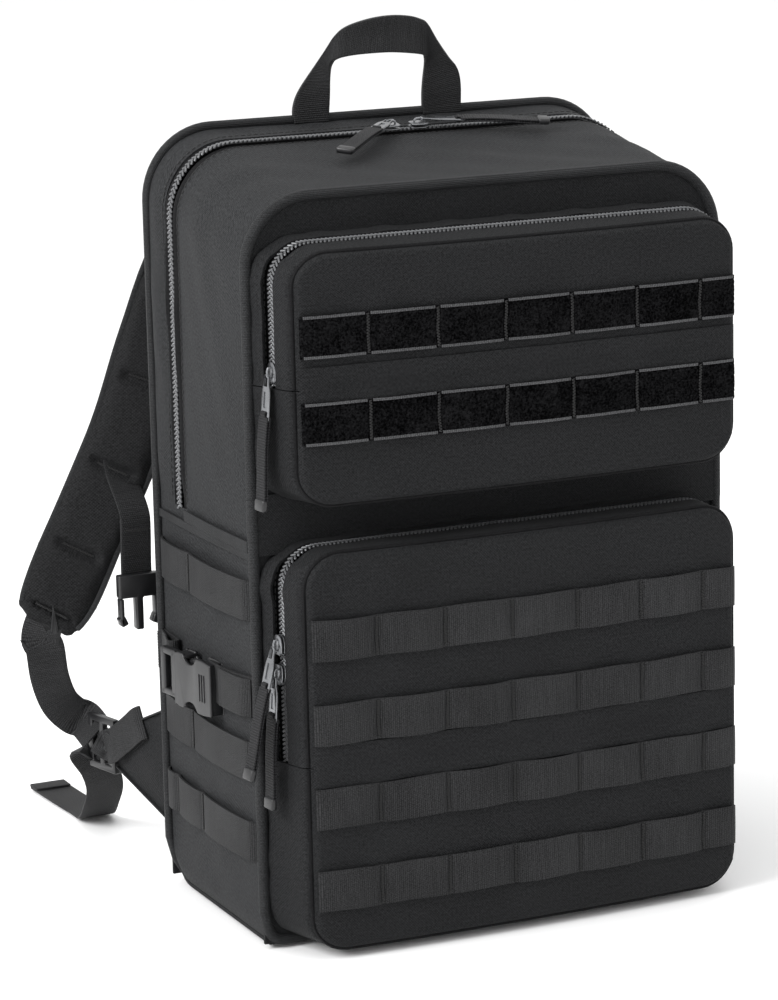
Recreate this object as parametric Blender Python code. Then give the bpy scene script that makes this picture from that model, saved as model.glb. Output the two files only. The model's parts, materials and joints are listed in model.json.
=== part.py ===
"""Trauma backpack: a clamshell pack with two front pockets, modelled as separate sewn panels and hardware.

Metres, +Z up. The origin is on the floor under the middle of the compartment. -Y is the front with the
pockets, +Y is the back that rests on the wearer, +X is the right of someone who looks at the front.
"""

import math

import bmesh
import bpy
from mathutils import Vector

# Compartment
BODY_WIDTH = 0.312
BODY_DEPTH = 0.150
FRONT_HEIGHT = 0.452
BACK_HEIGHT = 0.476
TOP_RADIUS = 0.042
FABRIC = 0.003
GAP = 0.0003
LID_FOLD_HEIGHT = 0.250
LID_FOLD_GAP = 0.002
ZIP_WIDTH = 0.0074
ZIP_FROM_FRONT = 0.112

# Pockets
POCKET_TAPER = 0.004
POCKET_CROWN = 0.007
POCKET_ZIP_FROM_BODY = 0.0105
LOWER_POCKET_WIDTH = 0.292
LOWER_POCKET_DEPTH = 0.042
LOWER_POCKET_BOTTOM = 0.0045
LOWER_POCKET_TOP = 0.246
LOWER_FOLD_HEIGHT = 0.118
UPPER_POCKET_WIDTH = 0.290
UPPER_POCKET_DEPTH = 0.040
UPPER_POCKET_BOTTOM = 0.274
UPPER_POCKET_TOP = 0.426
UPPER_FOLD_HEIGHT = 0.343
POCKET_RADIUS = 0.022
SLIDERS_MEET = 0.181

# Load webbing
WEBBING_HEIGHT = 0.0245
WEBBING_THICKNESS = 0.0016
ROW_PITCH = 0.0508
LOWER_ROW_TOP = 0.2075
LOOP_ROW_TOP = 0.3865
SIDE_ROW_TOP = 0.2255
SIDE_ROW_PITCH = 0.0495
SIDE_ROW_SPAN = 0.138

# Compression buckle
BUCKLE_HEIGHT = 0.034
BUCKLE_LENGTH = 0.044
BUCKLE_THICKNESS = 0.0115
BUCKLE_WALL = 0.0022
BUCKLE_FROM_BACK = 0.048
COMPRESSION_SAG = 0.0080
PLUG_BAR_LENGTH = 0.022
PLUG_WALL = 0.00375
PRONG_LENGTH = 0.026
PRONG_WIDTH = 0.0045
PRONG_FROM_EDGE = 0.008

# Zip hardware
SLIDER_LENGTH = 0.012
SLIDER_WIDTH = 0.0095
SLIDER_HEIGHT = 0.004
SLIDER_CLEARANCE = 0.0008
TAB_LENGTH = 0.029
TAB_WIDTH = 0.0085
TAB_THICKNESS = 0.0016
TAPE_LENGTH = 0.052
TAPE_WIDTH = 0.010
TAPE_THICKNESS = 0.0024

# Carrying parts
HANDLE_SPAN = 0.092
HANDLE_RISE = 0.0465
HANDLE_CORNER = 0.014
HANDLE_FROM_BACK = 0.006
HANDLE_CLEARANCE = 0.0022
BACK_PAD_THICKNESS = 0.010
BACK_PAD_MARGIN = 0.030
YOKE_HEIGHT = 0.056
YOKE_FROM_TOP = 0.016
YOKE_MARGIN = 0.030
YOKE_TO_PAD = 0.012
PAD_THICKNESS = 0.012
PAD_WIDTH = 0.052
STRAP_ANCHOR_X = 0.060
STRAP_PIVOT_FROM_TOP = 0.018
STRAP_PIVOT_FROM_BACK = 0.008
STRAP_WEBBING = 0.025
CHEST_WEBBING = 0.020
CHEST_LENGTH = 0.068
CHEST_FROM_ANCHOR = 0.097
CHEST_FROM_BACK = 0.034
CHEST_HEIGHT_SHARE = 0.5504
CHEST_PLUG_WIDTH = 0.027
CHEST_PLUG_THICKNESS = 0.007
CHEST_PLUG_LENGTH = 0.015
CHEST_PRONG_LENGTH = 0.019
CHEST_PRONG_WIDTH = 0.004
CHEST_SOCKET_WIDTH = 0.029
CHEST_SOCKET_THICKNESS = 0.011
CHEST_SOCKET_LENGTH = 0.036
LOCK_WIDTH = 0.036
LOCK_LENGTH = 0.030
LOCK_THICKNESS = 0.0045
LOCK_BAR = 0.0045
LOCK_CLEARANCE = 0.001
TAIL_CLEARANCE = 0.005
PAD_TO_STRAP = 0.006
WING_REACH = 0.055
WING_LEAN = 0.013
WING_HEIGHT = 0.075
WING_SEAM_TOP = 0.112
WING_SEAM_BOTTOM = 0.040
WING_TIP_HALF = 0.012

FRONT_Y = -BODY_DEPTH / 2
BACK_Y = BODY_DEPTH / 2
HALF_WIDTH = BODY_WIDTH / 2


# ---- materials and mesh helpers ----

def material(name, color, roughness, metallic=0.0):
    found = bpy.data.materials.get(name)
    if found:
        return found
    made = bpy.data.materials.new(name)
    made.use_nodes = True
    shader = made.node_tree.nodes["Principled BSDF"]
    shader.inputs["Base Color"].default_value = (*color, 1.0)
    shader.inputs["Roughness"].default_value = roughness
    shader.inputs["Metallic"].default_value = metallic
    return made


FINISHES = {
    "pack_fabric": ((0.030, 0.031, 0.034), 0.80, 0.0),
    "webbing": ((0.026, 0.026, 0.028), 0.70, 0.0),
    "loop_pile": ((0.008, 0.008, 0.009), 0.95, 0.0),
    "mesh_padding": ((0.020, 0.020, 0.022), 0.85, 0.0),
    "zip_teeth": ((0.45, 0.46, 0.48), 0.35, 0.6),
    "zip_metal": ((0.42, 0.43, 0.44), 0.30, 1.0),
    "buckle_plastic": ((0.018, 0.018, 0.020), 0.42, 0.0),
}


def add_mesh(name, finish, vertices, faces, origin=(0, 0, 0)):
    """One object from points in world space, with its own origin."""
    mesh = bpy.data.meshes.new(name)
    shift = Vector(origin)
    mesh.from_pydata([Vector(v) - shift for v in vertices], [], faces)
    shell = bmesh.new()
    shell.from_mesh(mesh)
    bmesh.ops.recalc_face_normals(shell, faces=shell.faces)
    shell.to_mesh(mesh)
    shell.free()
    mesh.materials.append(material(finish, *FINISHES[finish]))
    made = bpy.data.objects.new(name, mesh)
    made.location = shift
    bpy.context.scene.collection.objects.link(made)
    return made


def box_mesh(low, high):
    """Corners and faces of a box between two corners."""
    corners = [(x, y, z) for x in (low[0], high[0]) for y in (low[1], high[1]) for z in (low[2], high[2])]
    faces = [(0, 1, 3, 2), (4, 6, 7, 5), (0, 4, 5, 1), (2, 3, 7, 6), (0, 2, 6, 4), (1, 5, 7, 3)]
    return corners, faces


def add_box(name, finish, low, high, origin=(0, 0, 0)):
    return add_mesh(name, finish, *box_mesh(low, high), origin)


def helper_box(name, low, high):
    made = add_box(name, "webbing", low, high)
    made.hide_render = True
    made.display_type = "WIRE"
    return made


def boolean(target, other, operation):
    modifier = target.modifiers.new(other.name, "BOOLEAN")
    modifier.operation = operation
    modifier.object = other


def sweep_faces(rings, ring_size, closed_ends=True):
    """Faces that join rings of equal size, with caps."""
    faces = []
    for i in range(rings - 1):
        for j in range(ring_size):
            k = (j + 1) % ring_size
            a, b = i * ring_size, (i + 1) * ring_size
            faces.append((a + j, a + k, b + k, b + j))
    if closed_ends:
        faces.append(tuple(range(ring_size)))
        faces.append(tuple((rings - 1) * ring_size + j for j in reversed(range(ring_size))))
    return faces


def add_strip(name, finish, path, widths, normals, thickness, origin=(0, 0, 0)):
    """A flat strap along a path: widths are half-width vectors, thickness is laid along each normal."""
    vertices = []
    for point, width, normal in zip(path, widths, normals):
        point, width, normal = Vector(point), Vector(width), Vector(normal).normalized() * thickness
        vertices += [point - width, point + width, point + width + normal, point - width + normal]
    return add_mesh(name, finish, vertices, sweep_faces(len(path), 4), origin)


def smooth_path(points, steps):
    """Points on a smooth curve through the given points."""
    points = [Vector(p) for p in points]
    ends = [2 * points[0] - points[1]] + points + [2 * points[-1] - points[-2]]
    out = []
    for i in range(1, len(ends) - 2):
        a, b, c, d = ends[i - 1:i + 3]
        for s in range(steps):
            t = s / steps
            out.append(0.5 * (2 * b + (c - a) * t + (2 * a - 5 * b + 4 * c - d) * t * t
                              + (3 * b - a - 3 * c + d) * t ** 3))
    out.append(points[-1])
    return out


def mirrored(points):
    return [(-p[0], p[1], p[2]) for p in points]


# ---- compartment ----

def top_height(y):
    """Height of the compartment's top, which rises towards the back."""
    return FRONT_HEIGHT + (BACK_HEIGHT - FRONT_HEIGHT) * (y - FRONT_Y) / BODY_DEPTH


def arch(y, inset, bottom):
    """Left side, rounded top and right side of the compartment's outline at depth y, as (x, z)."""
    half, top, radius = HALF_WIDTH - inset, top_height(y) - inset, TOP_RADIUS - inset
    corner = [(half - radius + radius * math.sin(a), top - radius + radius * math.cos(a))
              for a in (math.radians(90 * i / 6) for i in range(7))]
    return ([(-half, bottom)] + [(-x, z) for x, z in reversed(corner)] + corner + [(half, bottom)])


def add_arch_band(name, finish, y0, y1, bottom, proud=0.0, origin=(0, 0, 0)):
    """A fabric band round the sides and top of the compartment."""
    vertices = []
    rings = [arch(y0, -proud, bottom), arch(y1, -proud, bottom),
             arch(y1, FABRIC, bottom), arch(y0, FABRIC, bottom)]
    for i in range(len(rings[0])):
        for ring, y in zip(rings, (y0, y1, y1, y0)):
            vertices.append((ring[i][0], y, ring[i][1]))
    return add_mesh(name, finish, vertices, sweep_faces(len(rings[0]), 4), origin)


def add_arch_panel(name, finish, y0, y1, bottom, inset, origin=(0, 0, 0)):
    """A flat panel with the compartment's arched outline."""
    vertices = [(x, y, z) for y in (y0, y1) for x, z in arch(y, inset, bottom)]
    return add_mesh(name, finish, vertices, sweep_faces(2, len(vertices) // 2), origin)


def build_compartment():
    zip_y = FRONT_Y + ZIP_FROM_FRONT
    inside = FABRIC + GAP
    add_arch_panel("back_panel", "pack_fabric", BACK_Y - FABRIC, BACK_Y, GAP + FABRIC, inside)
    add_arch_band("rear_gusset", "pack_fabric", zip_y + ZIP_WIDTH / 2 + GAP, BACK_Y, LID_FOLD_HEIGHT + GAP)
    add_box("base_panel", "pack_fabric", (-HALF_WIDTH, FRONT_Y, 0), (HALF_WIDTH, BACK_Y, FABRIC))
    add_box("front_panel", "pack_fabric", (-HALF_WIDTH + inside, FRONT_Y, inside),
            (HALF_WIDTH - inside, FRONT_Y + FABRIC, LID_FOLD_HEIGHT - LID_FOLD_GAP))
    for side, sign in (("left", -1), ("right", 1)):
        build_side_panel(side, sign)
    build_back_pad()


def build_side_panel(side, sign):
    """Side panel with the sewn load webbing rows that the compression strap leaves free."""
    outer = sign * HALF_WIDTH
    inner = sign * (HALF_WIDTH - FABRIC)
    panel = add_box("side_panel_" + side, "pack_fabric",
                    (min(outer, inner), FRONT_Y, FABRIC + GAP), (max(outer, inner), BACK_Y, LID_FOLD_HEIGHT))
    for row in (0, 2, 3):
        top = SIDE_ROW_TOP - row * SIDE_ROW_PITCH
        proud = sign * (HALF_WIDTH + WEBBING_THICKNESS)
        buried = sign * (HALF_WIDTH - FABRIC / 2)
        webbing = helper_box(f"side_webbing_{side}_{row}",
                             (min(proud, buried), -SIDE_ROW_SPAN / 2, top - WEBBING_HEIGHT),
                             (max(proud, buried), SIDE_ROW_SPAN / 2, top))
        boolean(panel, webbing, "UNION")


def build_back_pad():
    """Foam back pad, sewn on the back panel below the shoulder yoke, with bevelled edges."""
    yoke_bottom = BACK_HEIGHT - YOKE_FROM_TOP - YOKE_HEIGHT
    pad = add_box("back_pad", "mesh_padding", (-HALF_WIDTH + BACK_PAD_MARGIN, BACK_Y + GAP, BACK_PAD_MARGIN),
                  (HALF_WIDTH - BACK_PAD_MARGIN, BACK_Y + GAP + BACK_PAD_THICKNESS, yoke_bottom - YOKE_TO_PAD))
    bevel = pad.modifiers.new("rounded edge", "BEVEL")
    bevel.width = BACK_PAD_THICKNESS * 0.35
    bevel.segments = 1
    add_box("shoulder_yoke", "pack_fabric",
            (-STRAP_ANCHOR_X - YOKE_MARGIN, BACK_Y + GAP, BACK_HEIGHT - YOKE_FROM_TOP - YOKE_HEIGHT),
            (STRAP_ANCHOR_X + YOKE_MARGIN, BACK_Y + GAP + FABRIC, BACK_HEIGHT - YOKE_FROM_TOP))


def build_lid():
    """The front half of the clamshell above the fold: gusset, front panel and the zip chain it carries."""
    zip_y = FRONT_Y + ZIP_FROM_FRONT
    hinge = (0, FRONT_Y, LID_FOLD_HEIGHT)
    bottom = LID_FOLD_HEIGHT + GAP
    add_arch_band("lid_gusset", "pack_fabric", FRONT_Y, zip_y - ZIP_WIDTH / 2 - GAP, bottom, 0.0, hinge)
    add_arch_panel("lid_panel", "pack_fabric", FRONT_Y, FRONT_Y + FABRIC, bottom, FABRIC + GAP, hinge)
    add_arch_band("main_zip_chain", "zip_teeth", zip_y - ZIP_WIDTH / 2, zip_y + ZIP_WIDTH / 2,
                  bottom, 0.0006, hinge)


# ---- pockets ----

def pocket_front(x, half, depth):
    """How far the pocket's crowned face stands out from the compartment at x."""
    return depth - POCKET_CROWN * min(1.0, (x / half) ** 2)


def pocket_stations(half, radius):
    """x positions across a pocket face, with close steps round its corners."""
    corner = [half - radius + radius * math.sin(math.radians(90 * i / 5)) for i in range(6)]
    flat = half - radius
    middle = [flat * i / 5 for i in range(-4, 5)]
    return [-x for x in reversed(corner)] + middle + corner


def corner_drop(x, half, radius):
    over = max(0.0, abs(x) - (half - radius))
    return radius - math.sqrt(max(0.0, radius ** 2 - over ** 2))


def pocket_loops(half, bottom, top, depth, inset):
    """Face loop and base loop of a pocket, one fabric thickness further in for its inner side."""
    stations = pocket_stations(half - inset, POCKET_RADIUS - inset)
    low, high = bottom + inset, top - inset
    face_low, face_high, base_low, base_high = [], [], [], []
    for x in stations:
        drop = corner_drop(x, half - inset, POCKET_RADIUS - inset)
        y = FRONT_Y - GAP - pocket_front(x, half, depth) + inset
        spread = 1 + POCKET_TAPER / half
        face_high.append((x, y, high - drop))
        face_low.append((x, y, low + drop))
        base_high.append((x * spread, FRONT_Y - GAP, high - drop))
        base_low.append((x * spread, FRONT_Y - GAP, low + drop))
    return face_high, face_low, base_high, base_low


def add_pocket_shell(name, finish, width, bottom, top, depth, origin=(0, 0, 0)):
    """A crowned pocket of one fabric thickness, open towards the compartment."""
    half = width / 2 - POCKET_TAPER
    vertices, faces, starts = [], [], []
    for inset in (0.0, FABRIC):
        start = len(vertices)
        starts.append(start)
        loops = pocket_loops(half, bottom, top, depth, inset)
        for loop in loops:
            vertices += loop
        n = len(loops[0])
        at = [start + i * n for i in range(4)]
        for i in range(n - 1):
            faces.append((at[0] + i, at[0] + i + 1, at[1] + i + 1, at[1] + i))
            faces.append((at[0] + i, at[2] + i, at[2] + i + 1, at[0] + i + 1))
            faces.append((at[1] + i, at[1] + i + 1, at[3] + i + 1, at[3] + i))
        for i in (0, n - 1):
            faces.append((at[0] + i, at[1] + i, at[3] + i, at[2] + i))
    outer, inner = starts
    for k in (2, 3):
        for i in range(n - 1):
            a, b = outer + k * n + i, inner + k * n + i
            faces.append((a, a + 1, b + 1, b))
    for i in (0, n - 1):
        faces.append((outer + 2 * n + i, inner + 2 * n + i, inner + 3 * n + i, outer + 3 * n + i))
    return add_mesh(name, finish, vertices, faces, origin)


def build_pocket(prefix, width, bottom, top, depth, fold):
    """Pocket base, the flap that folds down from it, and the zip chain between them."""
    big = BODY_WIDTH
    zip_back = FRONT_Y - POCKET_ZIP_FROM_BODY
    zip_front = zip_back - ZIP_WIDTH
    flap_box = helper_box(prefix + "_flap_cut", (-big, FRONT_Y - 4 * depth, fold + GAP),
                          (big, zip_front - GAP, top + depth))
    chain_box = helper_box(prefix + "_chain_cut", (-big, zip_front, fold + GAP), (big, zip_back, top + depth))
    open_box = helper_box(prefix + "_base_cut", (-big, FRONT_Y - 4 * depth, fold),
                          (big, zip_back + GAP, top + depth))
    hinge = (0, FRONT_Y - depth, fold)
    base = add_pocket_shell(prefix + "_pocket_base", "pack_fabric", width, bottom, top, depth)
    boolean(base, open_box, "DIFFERENCE")
    flap = add_pocket_shell(prefix + "_pocket_flap", "pack_fabric", width, bottom, top, depth, hinge)
    boolean(flap, flap_box, "INTERSECT")
    chain = add_pocket_shell(prefix + "_zip_chain", "zip_teeth", width, bottom, top, depth)
    boolean(chain, chain_box, "INTERSECT")


def add_face_row(name, finish, width, top, depth, origin=(0, 0, 0)):
    """A webbing row that follows a pocket's crowned face."""
    half = width / 2 - POCKET_TAPER
    ends = half - POCKET_RADIUS * 0.1
    steps = 12
    path = []
    for i in range(steps + 1):
        x = -ends + 2 * ends * i / steps
        path.append((x, FRONT_Y - 2 * GAP - pocket_front(x, half, depth), top - WEBBING_HEIGHT / 2))
    widths = [(0, 0, WEBBING_HEIGHT / 2)] * len(path)
    normals = [(0, -1, 0)] * len(path)
    return add_strip(name, finish, path, widths, normals, WEBBING_THICKNESS, origin)


def build_rows():
    lower_hinge = (0, FRONT_Y - LOWER_POCKET_DEPTH, LOWER_FOLD_HEIGHT)
    for row in range(4):
        origin = lower_hinge if row < 2 else (0, 0, 0)
        add_face_row(f"load_webbing_{row + 1}", "webbing", LOWER_POCKET_WIDTH,
                     LOWER_ROW_TOP - row * ROW_PITCH,
                     LOWER_POCKET_DEPTH, origin)
    upper_hinge = (0, FRONT_Y - UPPER_POCKET_DEPTH, UPPER_FOLD_HEIGHT)
    for row, origin in enumerate((upper_hinge, (0, 0, 0))):
        add_face_row(f"loop_strip_{row + 1}", "loop_pile", UPPER_POCKET_WIDTH, LOOP_ROW_TOP - row * ROW_PITCH,
                     UPPER_POCKET_DEPTH, origin)


# ---- compression strap and side buckle ----

def add_window_box(name, finish, low, high, wall, open_axis, windows, origin=(0, 0, 0)):
    """A flat tube, open along one axis, with side windows."""
    made = add_box(name, finish, low, high, origin)
    inner_low, inner_high = [v + wall for v in low], [v - wall for v in high]
    inner_low[open_axis], inner_high[open_axis] = low[open_axis] - wall, high[open_axis] + wall
    boolean(made, helper_box(name + "_bore", inner_low, inner_high), "DIFFERENCE")
    for i, (window_low, window_high) in enumerate(windows):
        boolean(made, helper_box(f"{name}_window_{i}", window_low, window_high), "DIFFERENCE")
    return made


def build_compression(side, sign):
    middle_z = SIDE_ROW_TOP - SIDE_ROW_PITCH - WEBBING_HEIGHT / 2 - COMPRESSION_SAG
    near = HALF_WIDTH + 2 * GAP
    far = near + BUCKLE_THICKNESS
    plug_end = BACK_Y - BUCKLE_FROM_BACK + PLUG_BAR_LENGTH
    mouth = BACK_Y - BUCKLE_FROM_BACK
    rear = mouth - BUCKLE_LENGTH
    xs = sorted((sign * near, sign * far))
    half = BUCKLE_HEIGHT / 2
    window = [((xs[0] - GAP, rear + 0.012, middle_z + s * half - 0.004),
               (xs[1] + GAP, mouth - 0.012, middle_z + s * half + 0.004)) for s in (-1, 1)]
    add_window_box("buckle_housing_" + side, "buckle_plastic", (xs[0], rear, middle_z - half),
                   (xs[1], mouth, middle_z + half), BUCKLE_WALL, 1, window)
    strap_x = sorted((sign * (near + 0.004), sign * (near + 0.004 + WEBBING_THICKNESS)))
    add_box("compression_strap_" + side, "webbing",
            (strap_x[0], -SIDE_ROW_SPAN / 2, middle_z - WEBBING_HEIGHT / 2),
            (strap_x[1], rear - GAP, middle_z + WEBBING_HEIGHT / 2))
    tip_x = sorted((sign * (near + BUCKLE_WALL + 0.0010), sign * (far - BUCKLE_WALL - 0.0010)))
    plug = add_box("buckle_plug_" + side, "buckle_plastic",
                   (tip_x[0], mouth + 0.0006, middle_z - half + 0.002),
                   (tip_x[1], plug_end, middle_z + half - 0.002))
    slot = helper_box(f"plug_slot_{side}",
                      (xs[0] - GAP, mouth + 0.010, middle_z - half + PLUG_WALL),
                      (xs[1] + GAP, mouth + 0.016, middle_z + half - PLUG_WALL))
    boolean(plug, slot, "DIFFERENCE")
    guide = helper_box(f"plug_guide_{side}", (tip_x[0], mouth - 0.020, middle_z - 0.003),
                       (tip_x[1], mouth + 0.004, middle_z + 0.003))
    boolean(plug, guide, "UNION")
    for label, s in (("upper", 1), ("lower", -1)):
        prong_z = middle_z + s * (half - PRONG_FROM_EDGE)
        pivot = (0.5 * (tip_x[0] + tip_x[1]), mouth, prong_z)
        add_box(f"buckle_prong_{label}_{side}", "buckle_plastic",
                (tip_x[0], mouth - PRONG_LENGTH, prong_z - PRONG_WIDTH / 2),
                (tip_x[1], mouth + GAP, prong_z + PRONG_WIDTH / 2), pivot)


# ---- zip sliders and pulls ----

def add_slider(name, center, along, out):
    """A slider body that rides on the chain: along is its travel, out points off the fabric."""
    along, out = Vector(along), Vector(out)
    across = along.cross(out)
    base = Vector(center) + out * SLIDER_CLEARANCE
    corners = []
    for n in (0, SLIDER_HEIGHT):
        size = 1.0 if n == 0 else 0.62
        for a, b in ((-1, -1), (1, -1), (1, 1), (-1, 1)):
            corners.append(base + out * n + along * a * SLIDER_LENGTH / 2 * size
                           + across * b * SLIDER_WIDTH / 2 * size)
    return add_mesh(name, "zip_metal", corners, sweep_faces(2, 4), center)


def add_pull(name, pivot, along, out):
    """A metal tab and the flat tape tied through it, as one piece that turns on the slider."""
    along, out = Vector(along).normalized(), Vector(out).normalized()
    across = along.cross(out)
    start = Vector(pivot) + along * 0.0010
    rings = ((0.0, TAB_WIDTH * 0.45, TAB_THICKNESS), (TAB_LENGTH * 0.25, TAB_WIDTH / 2, TAB_THICKNESS),
             (TAB_LENGTH, TAB_WIDTH / 2, TAB_THICKNESS), (TAB_LENGTH, TAPE_WIDTH / 2, TAPE_THICKNESS),
             (TAB_LENGTH + TAPE_LENGTH, TAPE_WIDTH / 2, TAPE_THICKNESS))
    corners = []
    for distance, half, thick in rings:
        for a, b in ((-1, -1), (1, -1), (1, 1), (-1, 1)):
            corners.append(start + along * distance + across * a * half + out * b * thick / 2)
    return add_mesh(name, "zip_metal", corners, sweep_faces(len(rings), 4), pivot)


def build_zip_hardware():
    zip_y = FRONT_Y + ZIP_FROM_FRONT
    slope = math.atan2(BACK_HEIGHT - FRONT_HEIGHT, BODY_DEPTH)
    up = (0, -math.sin(slope), math.cos(slope))
    for label, x, direction in (("left", -0.010, (-0.70, -0.71)), ("right", 0.010, (0.95, -0.31))):
        base = Vector((x, zip_y, top_height(zip_y) + 0.0006))
        add_slider("main_slider_" + label, base, (1, 0, 0), up)
        ahead = Vector((direction[0], direction[1] * math.cos(slope), direction[1] * math.sin(slope)))
        pivot = base + Vector(up) * (SLIDER_CLEARANCE + SLIDER_HEIGHT + TAPE_THICKNESS / 2 + GAP)
        add_pull("main_pull_" + label, pivot, ahead, up)
    for label, width, depth, z, lean in (
            ("upper", UPPER_POCKET_WIDTH, UPPER_POCKET_DEPTH, UPPER_FOLD_HEIGHT + SLIDER_LENGTH * 0.75, 5),
            ("lower_a", LOWER_POCKET_WIDTH, LOWER_POCKET_DEPTH, SLIDERS_MEET + SLIDER_LENGTH * 0.75, 14),
            ("lower_b", LOWER_POCKET_WIDTH, LOWER_POCKET_DEPTH, SLIDERS_MEET - SLIDER_LENGTH * 0.75, 4)):
        add_pocket_slider(label, width, depth, z, lean)


def add_pocket_slider(label, width, depth, z, lean):
    """Slider on the left run of a pocket zip, with its pull hanging down."""
    from_body = POCKET_ZIP_FROM_BODY + ZIP_WIDTH / 2 + GAP
    wall_depth = depth - POCKET_CROWN
    out = Vector((-wall_depth, -POCKET_TAPER, 0)).normalized()
    base = Vector((-width / 2 + POCKET_TAPER * from_body / wall_depth, FRONT_Y - from_body, z))
    add_slider("slider_" + label, base, (0, 0, 1), out)
    tilt = math.radians(lean)
    pivot = base + out * (SLIDER_CLEARANCE + SLIDER_HEIGHT + TAPE_THICKNESS / 2 + GAP)
    down = Vector((0, 0, -1))
    add_pull("pull_" + label, pivot, down * math.cos(tilt) + out * math.sin(tilt),
             out * math.cos(tilt) - down * math.sin(tilt))


# ---- handle, shoulder straps and chest strap ----

def build_handle():
    """Grab handle: one webbing loop, twisted at its corners, whose feet are sewn in the top back seam."""
    y = BACK_Y - HANDLE_FROM_BACK
    foot_z = max(top_height(y - STRAP_WEBBING / 2), BACK_HEIGHT) + HANDLE_CLEARANCE
    top_z = foot_z + HANDLE_RISE
    half = HANDLE_SPAN / 2
    left = [(-half, foot_z, 0), (-half, foot_z + HANDLE_RISE * 0.4, 12)]
    for degrees, twist in ((0, 40), (30, 60), (60, 66), (90, 55)):
        a = math.radians(degrees)
        left.append((-half + HANDLE_CORNER * (1 - math.cos(a)),
                     top_z - HANDLE_CORNER * (1 - math.sin(a)), twist))
    left.append((-half * 0.45, top_z, 26))
    route = left + [(0, top_z, 16)] + [(-x, z, -twist) for x, z, twist in reversed(left)]
    path, widths, normals = [], [], []
    for i, (x, z, twist) in enumerate(route):
        dx, dz = tangent_at(route, i)
        outward, angle = Vector((-dz, 0, dx)), math.radians(abs(twist))
        depth = Vector((0, 1, 0))
        path.append((x, y, z))
        widths.append((outward * math.cos(angle) + depth * math.sin(angle)) * STRAP_WEBBING / 2)
        normals.append(depth * math.cos(angle) - outward * math.sin(angle))
    path = [Vector(point) - normal * WEBBING_THICKNESS for point, normal in zip(path, normals)]
    add_strip("grab_handle", "webbing", path, widths, normals, 2 * WEBBING_THICKNESS, (0, y, foot_z))


def tangent_at(points, i):
    a, b = points[max(0, i - 1)], points[min(len(points) - 1, i + 1)]
    length = math.hypot(b[0] - a[0], b[1] - a[1])
    return (b[0] - a[0]) / length, (b[1] - a[1]) / length


# Left shoulder pad: outwards from its anchor, back from the back panel, share of the back panel's height,
# and the angle that its width has turned back
PAD_ROUTE = [(0, 0.013, 0.9265, 0), (0.03, 0.022, 0.8866, 8), (0.06, 0.031, 0.8151, 20),
             (0.077, 0.041, 0.7143, 28), (0.09, 0.052, 0.6134, 30), (0.105, 0.062, 0.5252, 30),
             (0.124, 0.071, 0.4307, 30), (0.14, 0.077, 0.3571, 30), (0.149, 0.081, 0.3193, 30)]
# Left lower webbing, from the pad's tip to the ladder lock: shares of the way,
# and how far it bows back and down
LOWER_STRAP_BOW = [(0.30, 0.010, 0.004), (0.60, 0.014, 0.011), (0.85, 0.007, 0.009)]
# Left webbing tail: outwards and back from the ladder lock's end,
# and the share of that end's height it has left
TAIL_ROUTE = [(0.0005, 0.002, 0.90), (-0.007, 0.009, 0.68), (-0.012, 0.022, 0.43), (-0.015, 0.040, 0.19),
              (-0.018, 0.058, 0.035), (-0.019, 0.075, 0.006), (-0.017, 0.105, 0.006), (-0.015, 0.146, 0.006)]


def pad_frames():
    """Points of the pad's centre line with its half-width and thickness directions."""
    points = smooth_path([(-STRAP_ANCHOR_X - out, BACK_Y + back, BACK_HEIGHT * share)
                          for out, back, share, _ in PAD_ROUTE], 3)
    turns = smooth_path([(turn, 0, 0) for _, _, _, turn in PAD_ROUTE], 3)
    frames = []
    for i, point in enumerate(points):
        along = (points[min(i + 1, len(points) - 1)] - points[max(i - 1, 0)]).normalized()
        turn = math.radians(turns[i][0])
        back = Vector((math.sin(turn), math.cos(turn), 0))
        side = back.cross(along).normalized()
        back = along.cross(side).normalized()
        frames.append((point, side, back, i / (len(points) - 1)))
    return frames


def build_shoulder(side, sign):
    flip = mirrored if sign > 0 else (lambda points: [tuple(p) for p in points])
    pivot = flip([(-STRAP_ANCHOR_X, BACK_Y + STRAP_PIVOT_FROM_BACK, BACK_HEIGHT - STRAP_PIVOT_FROM_TOP)])[0]
    vertices = []
    for point, across, back, t in pad_frames():
        taper = 1 - 0.30 * max(0.0, (t - 0.75) / 0.25)
        half = PAD_WIDTH / 2 * taper
        edge = PAD_THICKNESS * 0.30
        for a, b in ((-1, -edge), (-0.8, -PAD_THICKNESS / 2), (0.8, -PAD_THICKNESS / 2), (1, -edge),
                     (1, edge), (0.8, PAD_THICKNESS / 2), (-0.8, PAD_THICKNESS / 2), (-1, edge)):
            vertices.append(point + across * half * a + back * b)
    add_mesh("shoulder_pad_" + side, "mesh_padding", flip(vertices),
             sweep_faces(len(vertices) // 8, 8), pivot)
    build_lower_strap(side, flip, pivot)
    build_wing(side, flip)
    build_lock(side, flip)
    build_tail(side, flip)
    build_chest(side, sign, flip)


def wing_x(y):
    """The left wing leans outwards from the seam to its tip."""
    return -HALF_WIDTH - WING_LEAN * (y - BACK_Y) / WING_REACH


def lock_frame():
    """Place of the left ladder lock: its hinged bar, the way along to the webbing, its width and its face."""
    along = Vector((-WING_LEAN, WING_REACH, 0)).normalized()
    tip_y = BACK_Y + WING_REACH + LOCK_CLEARANCE
    up = Vector((0, 0, 1))
    return Vector((wing_x(tip_y), tip_y, WING_HEIGHT)), along, up, along.cross(up)


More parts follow.
